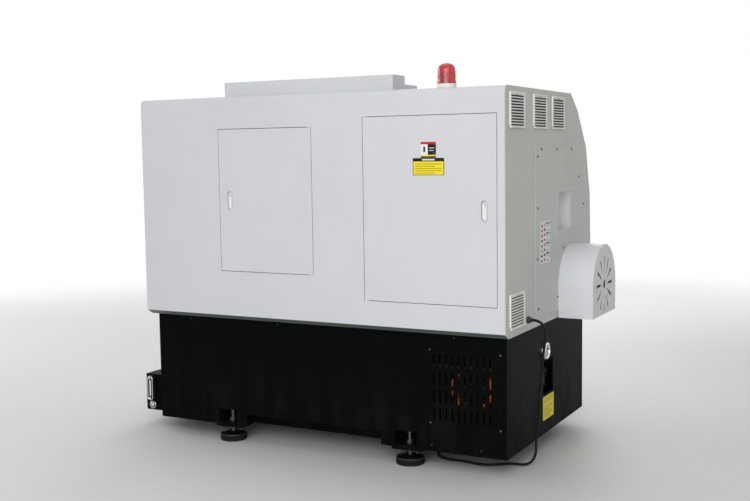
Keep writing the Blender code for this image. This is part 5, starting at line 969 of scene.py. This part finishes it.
@dataclass
class LouvrePlates:
    """Moulded louvre plates on the headstock end, each a frame with sloping blades over a dark sheet of
    painted shade.
    """

    width: float = 0.18
    height: float = 0.153
    thick: float = 0.007
    rim: float = 0.009
    blades: int = 11
    places: tuple[Pair, ...] = ((0.137, 1.6), (0.432, 1.6), (0.69, 1.6), (0.134, 0.739))

    def blade(self, left: float, right: float, row: int) -> Solid:
        """One blade: its face covers the pitch's upper half and turns back to the dark sheet above the next
        gap.

        Args:
            left: its left end.
            right: its right end.
            row: number of its row from below.

        Returns:
            The blade.
        """
        pitch = (self.height - self.rim * 2) / self.blades
        base = -self.height / 2 + self.rim + row * pitch
        low, high = base + pitch * 0.5, base + pitch * 1.02
        face = self.thick - 0.0006
        outline = [(low, face - 0.0008), (low + 0.0006, face), (high - 0.0012, face - 0.0016), (high, 0.0022)]
        outline += [(high - 0.0012, 0.0012), (high - 0.0026, face - 0.0034), (low + 0.0002, face - 0.0018)]
        return extruded(outline[::-1], left, right)

    def build(self) -> None:
        """Make the four plates in place of the plain ones; the top blade is split by a notch."""
        edge = self.thick
        section = [(0.0, 0.0), (0.0, edge - 0.0016), (0.0004, edge - 0.0006), (0.0016, edge)]
        section += [(self.rim - 0.0014, edge), (self.rim, edge - 0.0014), (self.rim, 0.0)]
        form = plate(self.width, self.height, 0.004, section, 4, True)
        half = self.width / 2 - self.rim + 0.0006
        for row in range(self.blades - 1):
            form += self.blade(-half, half, row)
        for left, right in ((-half, -0.006), (0.006, half)):
            form += self.blade(left, right, self.blades - 1)
        low = -self.height / 2
        lip = [(low, 0.0), (low + 0.0085, 0.0), (low + 0.0085, edge), (low + 0.006, 0.0112)]
        lip += [(low + 0.0012, 0.0118), (low, 0.0108)]
        form += extruded(lip, -self.width / 2, self.width / 2)
        # painted shade: the dark sheet behind the blades fills their gaps with shade
        shade_sheet = slab(self.width - self.rim * 1.2, self.height - self.rim * 1.2, 0.001, 0.0005)
        for number, (v, z) in enumerate(self.places, start=1):
            here = spot(Side.HEAD, SEAT, v, z)
            node = f"vent_louvre_{number}"
            make_piece(f"louvre_plate_{number}", form, CREAM, here, stands_for=node, sharp=25.0)
            make_piece(f"louvre_shade_sheet_{number}", shade_sheet, SHADE_SHEET, here)


@dataclass
class Beacon:
    """Red warning beacon: a fluted dome over a bulb and a turning reflector, on a pale foot."""

    centre: Triple = (0.303, 0.09, 1.7003)
    radius: float = 0.0425
    foot_height: float = 0.0203
    height: float = 0.0896
    wall: float = 0.0024
    flutes: int = 36
    flute_depth: float = 0.0004
    shares: Pair = (0.12, 0.8)

    def dome_rings(self, shrink: float) -> Array:
        """Rings from foot to crown: the radius falls as a root of 1 - t^3.2, with cosine flutes on its side.

        Args:
            shrink: distance inside the outer surface.

        Returns:
            Array of rings.
        """
        share = np.array([0.0, 0.03, 0.1, 0.16, 0.3, 0.45, 0.6, 0.72, 0.82, 0.9, 0.955, 0.985, 1.0])
        low, high = self.shares
        skirt = np.where(share < low, 1.0, 0.955)
        taper = (1 - np.clip((share - 0.45) / 0.5535, 0, 1) ** 3.2) ** (1 / 2.4)
        radius = np.maximum((self.radius - shrink) * skirt * taper, 0.0008)
        steps = self.flutes * 6
        depth = np.where((share > low) & (share < high), self.flute_depth, 0.0)
        wave = 0.5 + 0.5 * np.cos(even_angles(steps) * self.flutes)
        heights = self.foot_height + share * (self.height - shrink)
        return round_rings(radius[:, None] - depth[:, None] * wave, heights, steps)

    def build(self) -> None:
        """Make the dome, which runs down its inner wall and up its outer one, the foot and the bulb."""
        here = shifts(place(*self.centre))
        dome = skin(np.concatenate([self.dome_rings(self.wall)[::-1], self.dome_rings(0.0)]))
        make_piece("beacon_dome", dome, RED_LENS, here, stands_for="lamp_dome", sharp=50.0)
        foot = mm((6, 0), (42, 0), (42.5, 0.8), (42.5, 17), (41.8, 19), (39.5, 20))
        foot += mm((13, 20.2), (12, 23), (11, 29), (7.5, 29.2))
        make_piece("beacon_foot", turned(foot, 48), CREAM, here, stands_for="lamp_base")
        bulb = mm((6.6, 28.8), (6.6, 33), (8.6, 35))
        angle = np.linspace(0.4, math.pi * 0.96, 9)
        bulb += [(0.0088 * math.sin(a) ** 0.5, 0.049 - 0.014 * math.cos(a)) for a in angle]
        make_piece("beacon_bulb", turned(bulb, 24), FROST, here)


@dataclass
class Signs:
    """Printed plates, with colour fields alone, on the electrical door, the cover and the base's end."""

    yellow: Tone = shade(243, 226, 50)
    dull: Tone = shade(176, 160, 44)
    dark: Tone = shade(30, 30, 34)
    pale: Tone = shade(232, 234, 236)
    red: Tone = shade(196, 32, 42)
    line: Tone = shade(160, 166, 176)
    door: Pair = (0.3525, -0.0002)
    door_heights: Pair = (1.363, 1.435)
    cover: Triple = (-0.0035, 0.499, 1.005)
    base: Triple = (0.0248, 0.6325, 0.2035)

    @staticmethod
    def one(name: str, foil: PrintedFoil, size: Pair, here: Array, body: str = "machine") -> None:
        """Make one plate with eased edges; its face map is in shares of its width and height.

        Args:
            name: the piece's name.
            foil: its printed finish.
            size: its width and height.
            here: its frame.
            body: the CAD body that it moves with.
        """
        piece = make_piece(name, soft_plate(*size, 0.0025, 0.0009, 0.0004), foil, here, body)
        mesh = piece.data
        points = np.empty(len(mesh.vertices) * 3)
        mesh.vertices.foreach_get("co", points)
        local = (points.reshape(-1, 3) - here[:3, 3]) @ here[:3, :3]
        loops = np.empty(len(mesh.loops), dtype=np.int64)
        mesh.loops.foreach_get("vertex_index", loops)
        shares = local[:, :2] / np.array(size) + 0.5
        mesh.uv_layers.new(name="face").data.foreach_set("uv", shares[loops].ravel())

    @staticmethod
    def bars(rows: int, top: float, colour: Tone, right: float = 0.92) -> tuple[Field, ...]:
        """Even bars from a tenth of the height up, every third one shorter.

        Args:
            rows: number of bars.
            top: height that they reach.
            colour: their colour.
            right: where they end.

        Returns:
            The bars' fields.
        """
        pitch = (top - 0.1) / rows
        lows = [0.1 + row * pitch for row in range(rows)]
        ends = [right - (0.22 if row % 3 == 0 else 0.0) for row in range(rows)]
        return tuple(Field(0.08, end, low, low + 0.38 * pitch, colour) for low, end in zip(lows, ends))

    def chart(self) -> tuple[Field, ...]:
        """Fields of the chart: eight rows of two patches and two lines, four of them with a dark block."""
        red, dark = self.red, self.dark
        tones = (red, dark, shade(210, 160, 40), red, dark, shade(60, 110, 80), red, red)
        marks = []
        for row, tone in enumerate(tones):
            low = 0.04 + row * 0.118
            marks.append(Field(0.08, 0.24, low, low + 0.05, tone))
            marks.append(Field(0.36, 0.5, low + 0.02, low + 0.072, tones[(row + 3) % 8]))
            marks.append(Field(0.58, 0.92, low + 0.004, low + 0.014, self.line))
            marks.append(Field(0.58, 0.84, low + 0.03, low + 0.04, self.line))
            if row % 2:
                marks.append(Field(0.56, 0.96, low + 0.058, low + 0.088, dark))
        return tuple(marks)

    def build(self) -> None:
        """Make the plates."""
        yellow, dark, pale, slot = self.yellow, self.dark, self.pale, "cream_plastic"
        edge = (Field(0.0, 1.0, 0.0, 1.0, dark), Field(0.02, 0.98, 0.03, 0.97, yellow))
        header = (Field(0.0, 1.0, 0.8, 1.0, dark), Field(0.3, 0.7, 0.86, 0.94, pale))
        large = PrintedFoil("yellow_foil", slot, yellow, edge + header + self.bars(5, 0.76, self.dull))
        lower, upper = (spot(Side.BACK, *self.door, z) for z in self.door_heights)
        self.one("door_plate_yellow", large, (0.149, 0.074), lower, "electrical_door")
        fields = (
            Field(0.0, 1.0, 0.86, 1.0, self.red),
            Field(0.47, 1.0, 0.18, 0.86, dark),
            Field(0.18, 0.3, 0.36, 0.7, dark),
            Field(0.56, 0.9, 0.6, 0.64, pale),
            Field(0.56, 0.84, 0.44, 0.48, pale),
            Field(0.0, 1.0, 0.1, 0.18, yellow),
            Field(0.0, 1.0, 0.0, 0.1, dark),
        )
        small = PrintedFoil("small_foil", slot, pale, fields)
        self.one("door_plate_small", small, (0.073, 0.068), upper, "electrical_door")
        chart = PrintedFoil("chart_foil", slot, pale, self.chart())
        self.one("cover_plate", chart, (0.14, 0.196), spot(Side.HEAD, *self.cover))
        band = (Field(0.06, 0.94, 0.72, 0.92, shade(214, 198, 44)),)
        tall = PrintedFoil("tall_yellow_foil", slot, yellow, band + self.bars(6, 0.66, self.dull, 0.86))
        self.one("base_plate_yellow", tall, (0.155, 0.113), spot(Side.HEAD, *self.base))


@dataclass
class Fasteners:
    """Screws of the cover, grille, base and roof cover, and the feet's cups, pads and nut crowns."""

    cover: tuple[Pair, ...] = (
        (0.45, 1.431), (0.668, 1.431), (0.892, 1.431), (0.397, 1.398), (1.016, 1.293), (1.093, 1.153),
        (0.397, 1.166), (0.397, 0.934), (0.406, 0.705), (0.773, 0.956), (0.683, 0.728), (1.1, 0.9),
        (1.1, 0.72),
    )
    cover_face: float = -0.0033
    grille: tuple[Pair, ...] = ((0.391, 0.547), (0.054, 0.544), (0.39, 0.213), (0.054, 0.21))
    grille_face: float = 0.0777
    base: tuple[Pair, ...] = ((0.273, 0.606), (0.386, 0.11), (0.145, 0.11), (1.2, 0.606), (1.72, 0.606))
    base_face: float = 0.08
    flange: tuple[float, ...] = (0.62, 0.86, 1.2, 1.44)
    flange_place: Pair = (0.3, 1.734)
    stations: Pair = (0.516, 1.506)
    depths: Pair = (0.125, 1.135)
    ledge: float = 0.092
    pad: float = 0.065

    def build(self) -> None:
        """Make each group of fasteners as one piece."""
        large, small = button_screw(0.0058, 0.0034), button_screw(0.005, 0.003)
        cover = [spot(Side.HEAD, self.cover_face, v, z) for v, z in self.cover]
        make_piece("cover_screws", large, DARK_STEEL, cover)
        grille = [spot(Side.BACK, u, self.grille_face, z) for u, z in self.grille]
        make_piece("grille_screws", small, FOOT_STEEL, grille)
        base = [spot(Side.BACK, u, self.base_face, z) for u, z in self.base]
        make_piece("base_screws", small, DARK_STEEL, base)
        make_piece("roof_screws", small, ZINC, [spot(Side.TOP, u, *self.flange_place) for u in self.flange])
        self.feet()

    def feet(self) -> None:
        """Make the feet's cups over their ribbed pads, and a zinc crown on each lock nut."""
        spots = np.stack([spot(Side.TOP, u, v, 0.0) for u in self.stations for v in self.depths])
        cup = mm((26.2, 32.2), (64, 32.2), (64, 33.6), (59, 35.2), (48, 37.2))
        cup += mm((40, 38), (30, 42), (26.2, 43.8))
        make_piece("foot_cups", turned(cup, 40, True), DARK_STEEL, spots)
        low, out = self.pad, self.pad + 0.0012
        rows = ribs(5, 0.003, 0.0054, [(low, 0.0), (out, 0.0008), (out, 0.0034), (low, 0.0042)])
        rubber = [(low - 0.001, 0.002), *rows, (low - 0.001, 0.03)]
        make_piece("foot_pads", turned(rubber, 48, True), RUBBER, spots)
        crown = turned(mm((10.4, 15.6), (18.5, 15.6), (16.8, 17.2), (10.4, 17.6)), 36, True)
        make_piece("foot_nut_crowns", crown, ZINC, spots @ shifts((0.0, 0.0, self.ledge)))


@dataclass
class TankFittings:
    """Sight tube, bezel and bolts of the coolant tank's level gauge, and the drain plug below it."""

    gauge: Triple = (2.079, 0.1767, 0.194)
    bolt_reach: float = 0.053
    drain: Triple = (2.077, 0.1948, 0.101)

    def build(self) -> None:
        """Make the gauge's bright bezel, its tube, its bolts and the drain plug."""
        here = spot(Side.BACK, *self.gauge)
        section = mm((0, -1), (0, 1.8), (1, 2.6), (2.8, 2.6), (3.8, 1.8), (3.8, -1))
        make_piece("gauge_bezel", plate(0.035, 0.129, 0.0165, section, 8, True), CHROME, here, "tank")
        line = np.column_stack([np.zeros(9), np.linspace(-0.04, 0.04, 9), np.full(9, -0.001)])
        make_piece("gauge_tube", tube(line, 0.004, 18), FROST, here, "tank")
        ends = here @ shifts((0.0, self.bolt_reach), (0.0, -self.bolt_reach))
        make_piece("gauge_bolts", hexagon_head(0.0125, 0.0062), CHROME, ends, "tank")
        plug = mm((8, -0.4), (21, 0), (21, 3), (19.6, 4.2), (15, 4.4))
        plug += mm((14.4, 5.2), (14, 10.5), (10, 13.5), (5, 14.8), (1, 15))
        make_piece("tank_drain_plug", turned(plug), ZINC, spot(Side.BACK, *self.drain), "tank")


@dataclass
class BaseEndFittings:
    """Sight glass on the base's end and the belt-tension bolt seen in the window below it."""

    sight: Triple = (0.0247, 0.574, 0.483)
    radius: float = 0.042
    bolt: Triple = (0.071, 0.616, 0.3)
    plate_inside: float = 0.0295

    def build(self) -> None:
        """Make the lens, its bezel ring and the bolt with its bracket."""
        here = spot(Side.HEAD, *self.sight)
        ring = mm((27, 0), (27, 12), (28.4, 16.2), (33, 17.8), (38.5, 16))
        ring += [(self.radius, 0.011), (self.radius + 0.0006, 0.0)]
        make_piece("sight_bezel", turned(ring, 44, True), CHROME, here, stands_for="sight_glass")
        angle = np.linspace(0.0, QUARTER * 0.97, 7)
        lens = [(0.0262 * math.cos(a) + 0.0004, 0.0085 + 0.0045 * math.sin(a)) for a in angle]
        make_piece("sight_lens", turned([(0.0266, 0.0), *lens], 40), GLASS, here)
        self.tension_bolt()

    def tension_bolt(self) -> None:
        """Make the angle bracket behind the window's sill with the bolt that tightens the belt."""
        u, v, z = self.bolt
        lug = slab(0.06, 0.066, 0.004, -0.002).copied(spot(Side.HEAD, u, v, z - 0.007))
        depth = u - self.plate_inside + 0.004
        level = spot(Side.SHELF, self.plate_inside + depth / 2, v, z - 0.038)
        shelf = slab(0.06, depth, 0.004).copied(level)
        make_piece("tension_bracket", lug + shelf, BLACK)
        thread = ribs(18, -0.042, 0.0022, mm((6, 0), (5.3, 1.1)))
        stem = turned([(0.004, -0.044), (0.0052, -0.0432), *thread, (0.006, 0.0005), (0.003, 0.0006)], 20)
        nut = hexagon_head(0.019, 0.0085)
        form = nut + stem + nut.copied(shifts((0.0, 0.0, -0.0128)))
        make_piece("tension_bolt", form, ZINC, spot(Side.HEAD, u, v, z))


@dataclass
class OperatorSide:
    """Screen, keys and dials of the operator panel, and the seal round the door's pane."""

    face_top: Pair = (1.2092, 1.4161)
    face_low: Pair = (1.2873, 0.956)
    middle: float = 1.68
    controls: float = -0.1583
    spacing: float = 0.1
    screen_centre: Pair = (-0.045, 0.105)
    key_steps: Pair = (0.0215, 0.019)
    soft_key_step: float = 0.0265
    letters: tuple[float, float, int, int] = (0.112, 0.19, 10, 3)
    axes: tuple[float, float, int, int] = (-0.15, -0.05, 4, 14)
    pane: Pair = (0.56, 0.193)
    pane_centre: Triple = (1.02, 1.2022, 1.3243)
    pane_out: Pair = (0.9609, 0.2768)

    def face_frame(self) -> Array:
        """Frame in the middle of the panel's face."""
        back, rise = self.face_low[0] - self.face_top[0], self.face_top[1] - self.face_low[1]
        depth, height = ((top + low) / 2 for top, low in zip(self.face_top, self.face_low))
        return spot(((0.0, -rise, back), (0.0, back, rise)), self.middle, depth, height)

    def key_field(self, left: float, top: float, rows: int, columns: int) -> Array:
        """Frames of a field of keys, from its upper left one."""
        across, down = self.key_steps
        return shifts(*((left + x * across, top - y * down) for y in range(rows) for x in range(columns)))

    def build(self) -> None:
        """Make the screen with its bezel, the keys, the rings round the controls and the pane's seal."""
        face = self.face_frame()
        here = face @ shifts(self.screen_centre)
        section = mm((0, 0), (0, 3), (2, 4.2), (12, 4.2), (14, 2.4), (14, 0))
        make_piece("screen_bezel", plate(0.25, 0.2, 0.01, section, 4, True), BLACK_PLASTIC, here)
        make_piece("screen_glass", soft_plate(0.224, 0.174, 0.004, 0.0022, 0.0008), SCREEN, here)
        key = soft_plate(0.0165, 0.0125, 0.0022, 0.003, 0.0009)
        middle = self.screen_centre[0]
        below = [(middle + (column - 3.5) * self.soft_key_step, -0.012) for column in range(8)]
        make_piece("soft_keys", key, BLACK_PLASTIC, face @ shifts(*below))
        make_piece("letter_keys", key, PALE_PLASTIC, face @ self.key_field(*self.letters))
        make_piece("axis_keys", key, PALE_PLASTIC, face @ self.key_field(*self.axes))
        self.dials(face)
        self.gasket()

    def dials(self, face: Array) -> None:
        """Make the yellow collar of the stop button and the marked rings of the knob and the handwheel.

        Args:
            face: frame of the panel's face.
        """
        button, knob, wheel = face @ shifts(*((turn * self.spacing, self.controls) for turn in (-1, 0, 1)))
        collar = mm((13, 0), (30, 0), (30, 1.4), (29.2, 2.2), (13, 2.2))
        make_piece("stop_collar", turned(collar, 40, True), YELLOW_PLASTIC, button)
        tick = slab(0.0036, 0.0008, 0.0004, 0.0007, edge=0.0001)
        frames = []
        for here, radius, ticks in ((knob, 0.0232, 12), (wheel, 0.0385, 50)):
            low, high = radius - 0.0055, radius + 0.004
            disc = turned([(low, 0.0), (high, 0.0), (high, 0.0006), (low, 0.0006)], 60, True)
            make_piece(f"dial_ring_{ticks}", disc, BLACK_PLASTIC, here)
            frames.append(here @ circle_frames(even_angles(ticks), radius))
        make_piece("dial_marks", tick, CREAM, np.concatenate(frames))

    def gasket(self) -> None:
        """Make the rubber seal round the sliding door's pane."""
        out, up = self.pane_out
        seal = mm((0, -0.4), (0, 1.6), (1.6, 3), (8.5, 3), (11, 1.4), (11.4, -0.4))
        ring = plate(self.pane[0] + 0.016, self.pane[1] + 0.016, 0.008, seal, 5, True)
        here = spot(((0.0, -out, up), (0.0, up, out)), *self.pane_centre)
        make_piece("pane_gasket", ring, RUBBER, here, "front_door")


@dataclass
class WorkArea:
    """Dressing of the machinery inside: motor fins, the turret's cap and screws, the chuck's bolts."""

    motor: Triple = (0.185, 0.7, 0.335)
    motor_radius: float = 0.105
    fins: int = 20
    fin_step: float = 0.0125
    turret: Triple = (0.9318, 0.6557, 1.0064)
    turret_circle: float = 0.094
    chuck_face: Triple = (0.6513, 0.889, 0.773)
    chuck_circle: float = 0.078

    def build_motor(self) -> None:
        """Make the fins round the motor's body."""
        low, high = self.motor_radius - 0.0014, self.motor_radius + 0.003
        fin = turned([(low, -0.0012), (high, -0.0009), (high, 0.0009), (low, 0.0012)], 48, True)
        u, v, z = self.motor
        spots = [spot(Side.TAIL, u + step * self.fin_step, v, z) for step in range(self.fins)]
        make_piece("motor_fins", fin, DARK_STEEL, spots)

    def build_turret(self) -> None:
        """Make the turret's cap, its ring of screws and the chuck's bolts."""
        here = spot(Side.HEAD, *self.turret)
        cap = mm((50, -0.4), (52, 0), (52, 4), (50, 6), (22, 6.6), (1, 7))
        make_piece("turret_cap", turned(cap, 48), DARK_STEEL, here, "turret")
        ring = here @ circle_frames(even_angles(16) + TAU / 32, self.turret_circle)
        make_piece("turret_screws", button_screw(0.006, 0.004), DARK_STEEL, ring, "turret")
        bolts = circle_frames(even_angles(6) + TAU / 12 + QUARTER, self.chuck_circle)
        face = spot(Side.TAIL, *self.chuck_face)
        make_piece("chuck_bolts", button_screw(0.0062, 0.003), DARK_STEEL, face @ bolts, "spindle")


@dataclass
class CabinetFittings:
    """Wiring ducts, breakers, terminals and drive faces on the mounting plate behind the electrical door."""

    plate: float = 0.2432
    span: Pair = (0.072, 0.641)
    levels: Triple = (0.822, 1.098, 1.5)
    uprights: Pair = (0.084, 0.56)
    duct_size: Pair = (0.034, 0.045)
    finger_step: float = 0.0105
    rails: Pair = (1.005, 0.905)
    rail_middle: float = 0.34
    breakers: tuple[float, float, int] = (0.13, 0.018, 12)
    terminals: tuple[float, float, int] = (0.15, 0.006, 52)
    contactors: tuple[float, float, int] = (0.385, 0.048, 3)
    drives: tuple[Pair, ...] = ((0.107, 0.237), (0.277, 0.367), (0.407, 0.497))
    drive_face: Pair = (0.1285, 1.303)

    def row(self, z: float, start: float, step: float, count: int) -> list[Array]:
        """Frames of a row on the plate, evenly spaced along it."""
        return [spot(Side.BACK, start + index * step, self.plate, z) for index in range(count)]

    def duct(self, length: float) -> Solid:
        """Slotted duct along X: a floor and a lid joined by two rows of fingers.

        Args:
            length: its length.

        Returns:
            The duct.
        """
        wide, deep = self.duct_size
        finger = slab(0.0062, 0.0016, deep - 0.004, deep / 2)
        count = int(length / self.finger_step)
        steps = (np.arange(count) - (count - 1) / 2) * self.finger_step
        fingers = finger.copied(shifts(*((x, side * (wide / 2 - 0.001)) for x in steps for side in (-1, 1))))
        return slab(length, wide, 0.002, 0.001) + slab(length, wide, 0.002, deep) + fingers

    def ducts(self) -> Solid:
        """All ducts: three level ones and two upright ones between the lower pair."""
        left, right = self.span
        middles = [spot(Side.BACK, (left + right) / 2, self.plate, z) for z in self.levels]
        level = self.duct(right - left).copied(middles)
        low, high = self.levels[0] + 0.02, self.levels[1] - 0.02
        spots = [spot(Side.BACK_UPRIGHT, u, self.plate, (low + high) / 2) for u in self.uprights]
        return level + self.duct(high - low).copied(spots)

    def build(self) -> None:
        """Make the ducts, then the rails' breakers, terminals and contactors, and the drives' faces."""
        make_piece("wiring_ducts", self.ducts(), PALE_PLASTIC)
        upper, lower = self.rails
        spots = self.row(upper, *self.breakers)
        breakers = (slab(0.0172, 0.08, 0.046, 0.031) + slab(0.0172, 0.044, 0.016, 0.06)).copied(spots)
        middles = [spot(Side.BACK, self.rail_middle, self.plate, z) for z in self.rails]
        rails = slab(0.44, 0.035, 0.007, 0.0035).copied(middles)
        make_piece("breakers", breakers + rails, CREAM)
        make_piece("breaker_toggles", slab(0.007, 0.012, 0.009, 0.0715, 0.004), BLACK_PLASTIC, spots)
        terminal = slab(0.0052, 0.046, 0.03, 0.022) + slab(0.0052, 0.022, 0.01, 0.041)
        make_piece("rail_terminals", terminal, GREY_PLASTIC, self.row(lower, *self.terminals))
        contactor = slab(0.044, 0.074, 0.034, 0.024) + slab(0.044, 0.056, 0.024, 0.052)
        contactor += slab(0.02, 0.026, 0.014, 0.07)
        make_piece("contactors", contactor, BLACK_PLASTIC, self.row(upper, *self.contactors))
        self.drive_faces()

    def drive_faces(self) -> None:
        """Make the raised front of each drive, with ribs above and below, and its dark window."""
        faces, windows = [], []
        for left, right in self.drives:
            wide = right - left
            here = spot(Side.BACK, (left + right) / 2, *self.drive_face)
            rib = soft_plate(wide - 0.024, 0.0036, 0.0014, 0.0026, 0.0008)
            rows = shifts(*((0.0, side * (0.088 + 0.0085 * row)) for row in range(6) for side in (-1, 1)))
            face = soft_plate(wide - 0.014, 0.15, 0.004, 0.005, 0.0015) + rib.copied(rows)
            faces.append(face.copied(here))
            window = soft_plate(wide * 0.46, 0.03, 0.002, 0.0062, 0.0005)
            windows.append(window.copied(here @ shifts((0.0, 0.045))))
        make_piece("drive_faces", sum(faces[1:], faces[0]), GREY_PLASTIC)
        make_piece("drive_windows", sum(windows[1:], windows[0]), SCREEN)


@dataclass
class LatchBarrels:
    """Lock barrel on each back door's latch lever: a turned rim with a key slot."""

    barrels: tuple[tuple[str, Triple], ...] = (
        ("electrical_latch", (0.096, 0.0068, 1.199)),
        ("service_latch", (1.404, 0.0068, 1.2315)),
    )

    def build(self) -> None:
        """Make both barrels and their slots."""
        rim = mm((5, -0.5), (7.2, 0), (7.2, 1), (6.4, 1.5), (5.2, 1.2), (4.8, 0.6))
        # painted shade: each key slot is a dark sheet on the barrel, standing for the shade in the slot
        slot = slab(0.0012, 0.0056, 0.0006, 0.0008, edge=0.0001)
        for body, at in self.barrels:
            here = spot(Side.BACK, *at)
            make_piece(f"{body}_barrel", turned([*rim, (0.001, 0.0007)], 28), CHROME, here, body)
            make_piece(f"{body}_key_slot", slot, SHADE_SHEET, here, body)


@dataclass(frozen=True)
class SoftLight:
    """One square soft light that points at a place."""

    name: str
    position: Triple
    aim: Triple
    size: float
    power: float

    def build(self) -> None:
        """Make the light."""
        data = bpy.data.lights.new(self.name, "AREA")
        data.size, data.energy = self.size, self.power
        light = bpy.data.objects.new(self.name, data)
        position = Vector(self.position)
        turn = (position - Vector(self.aim)).to_track_quat("Z", "Y").to_matrix().to_4x4()
        light.matrix_world = Matrix.Translation(position) @ turn
        bpy.context.scene.collection.objects.link(light)


@dataclass
class Studio:
    """Pale floor, soft lights and a white surround."""

    reach: float = 30.0
    level: float = -0.0006
    ambient: float = 0.32
    fade_from: float = 2.6
    fade_to: float = 7.5
    lights: tuple[SoftLight, ...] = (
        SoftLight("back_light", (-1.8, 5.6, 2.6), (-0.1, 0.3, 0.9), 4.4, 187.0),
        SoftLight("top_light", (0.2, 0.2, 5.0), (0.0, 0.0, 1.0), 3.6, 36.0),
        SoftLight("front_light", (1.2, -4.8, 3.0), (0.0, -0.3, 0.9), 3.4, 106.0),
        SoftLight("tail_light", (5.0, 0.0, 2.4), (0.9, 0.0, 0.9), 2.4, 50.0),
    )

    def floor(self) -> None:
        """Make the floor: far from the machine it turns to plain white, for the camera and reflections."""
        mesh = bpy.data.meshes.new("floor")
        disc = round_rings(np.array([[self.reach]]), [self.level], 64)[0]
        mesh.from_pydata(disc.tolist(), [], [tuple(range(64))])
        recipe = Recipe(bpy.data.materials.new("pale_floor"))
        where = recipe.add("ShaderNodeTexCoord", {}, {}, "Object")
        far = recipe.add("ShaderNodeVectorMath", {"operation": "LENGTH"}, {0: where}, "Value")
        tone = where.noise(24.0, 4.0).mix(shade(226, 226, 224), shade(218, 218, 216))
        surface = recipe.nodes["Principled BSDF"]
        recipe.fill(surface, {"Base Color": tone, "Roughness": 0.62})
        white = recipe.add("ShaderNodeEmission", {}, {"Color": (1.0, 1.0, 1.0), "Strength": 1.0})
        share = far.fade(self.fade_from, self.fade_to) * recipe.seen()
        recipe.show(Term(recipe, surface.outputs["BSDF"]), white, share, "Material Output")
        mesh.materials.append(recipe.owner)
        piece = bpy.data.objects.new("floor", mesh)
        bpy.context.scene.collection.objects.link(piece)

    def world(self) -> None:
        """Give an even grey light all round and a white surround to the camera."""
        world = bpy.data.worlds.new("studio")
        bpy.context.scene.world = world
        recipe = Recipe(world)
        grey = recipe.nodes["Background"]
        recipe.fill(grey, {"Color": (1.0, 1.0, 1.0), "Strength": self.ambient})
        white = recipe.add("ShaderNodeBackground", {}, {"Color": (1.0, 1.0, 1.0), "Strength": 1.0})
        recipe.show(Term(recipe, grey.outputs[0]), white, recipe.seen(), "World Output")

    def build(self) -> None:
        """Make the surroundings."""
        self.floor()
        self.world()
        for light in self.lights:
            light.build()
        bpy.context.scene.view_settings.view_transform = "Standard"


def dress(nodes: dict[str, bpy.types.Object]) -> None:
    """Give every CAD node its finish.

    Args:
        nodes: the frame's nodes by name.
    """
    for finish, names in DRESSED:
        for name in names.split():
            materials = nodes[name].data.materials
            materials.clear()
            materials.append(finish.make())


def main() -> None:
    """Load the machine, dress it and light it."""
    logging.basicConfig(level=logging.INFO, format="%(message)s")
    for item in list(bpy.data.objects):
        bpy.data.objects.remove(item, do_unlink=True)
    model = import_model()
    ViewCamera().build()
    SupplyCable().build()
    dress(model["nodes"])
    LouvrePlates().build()
    Beacon().build()
    Signs().build()
    Fasteners().build()
    TankFittings().build()
    BaseEndFittings().build()
    OperatorSide().build()
    machinery = WorkArea()
    machinery.build_motor()
    CabinetFittings().build()
    LatchBarrels().build()
    machinery.build_turret()
    Studio().build()


if __name__ == "__main__":
    main()
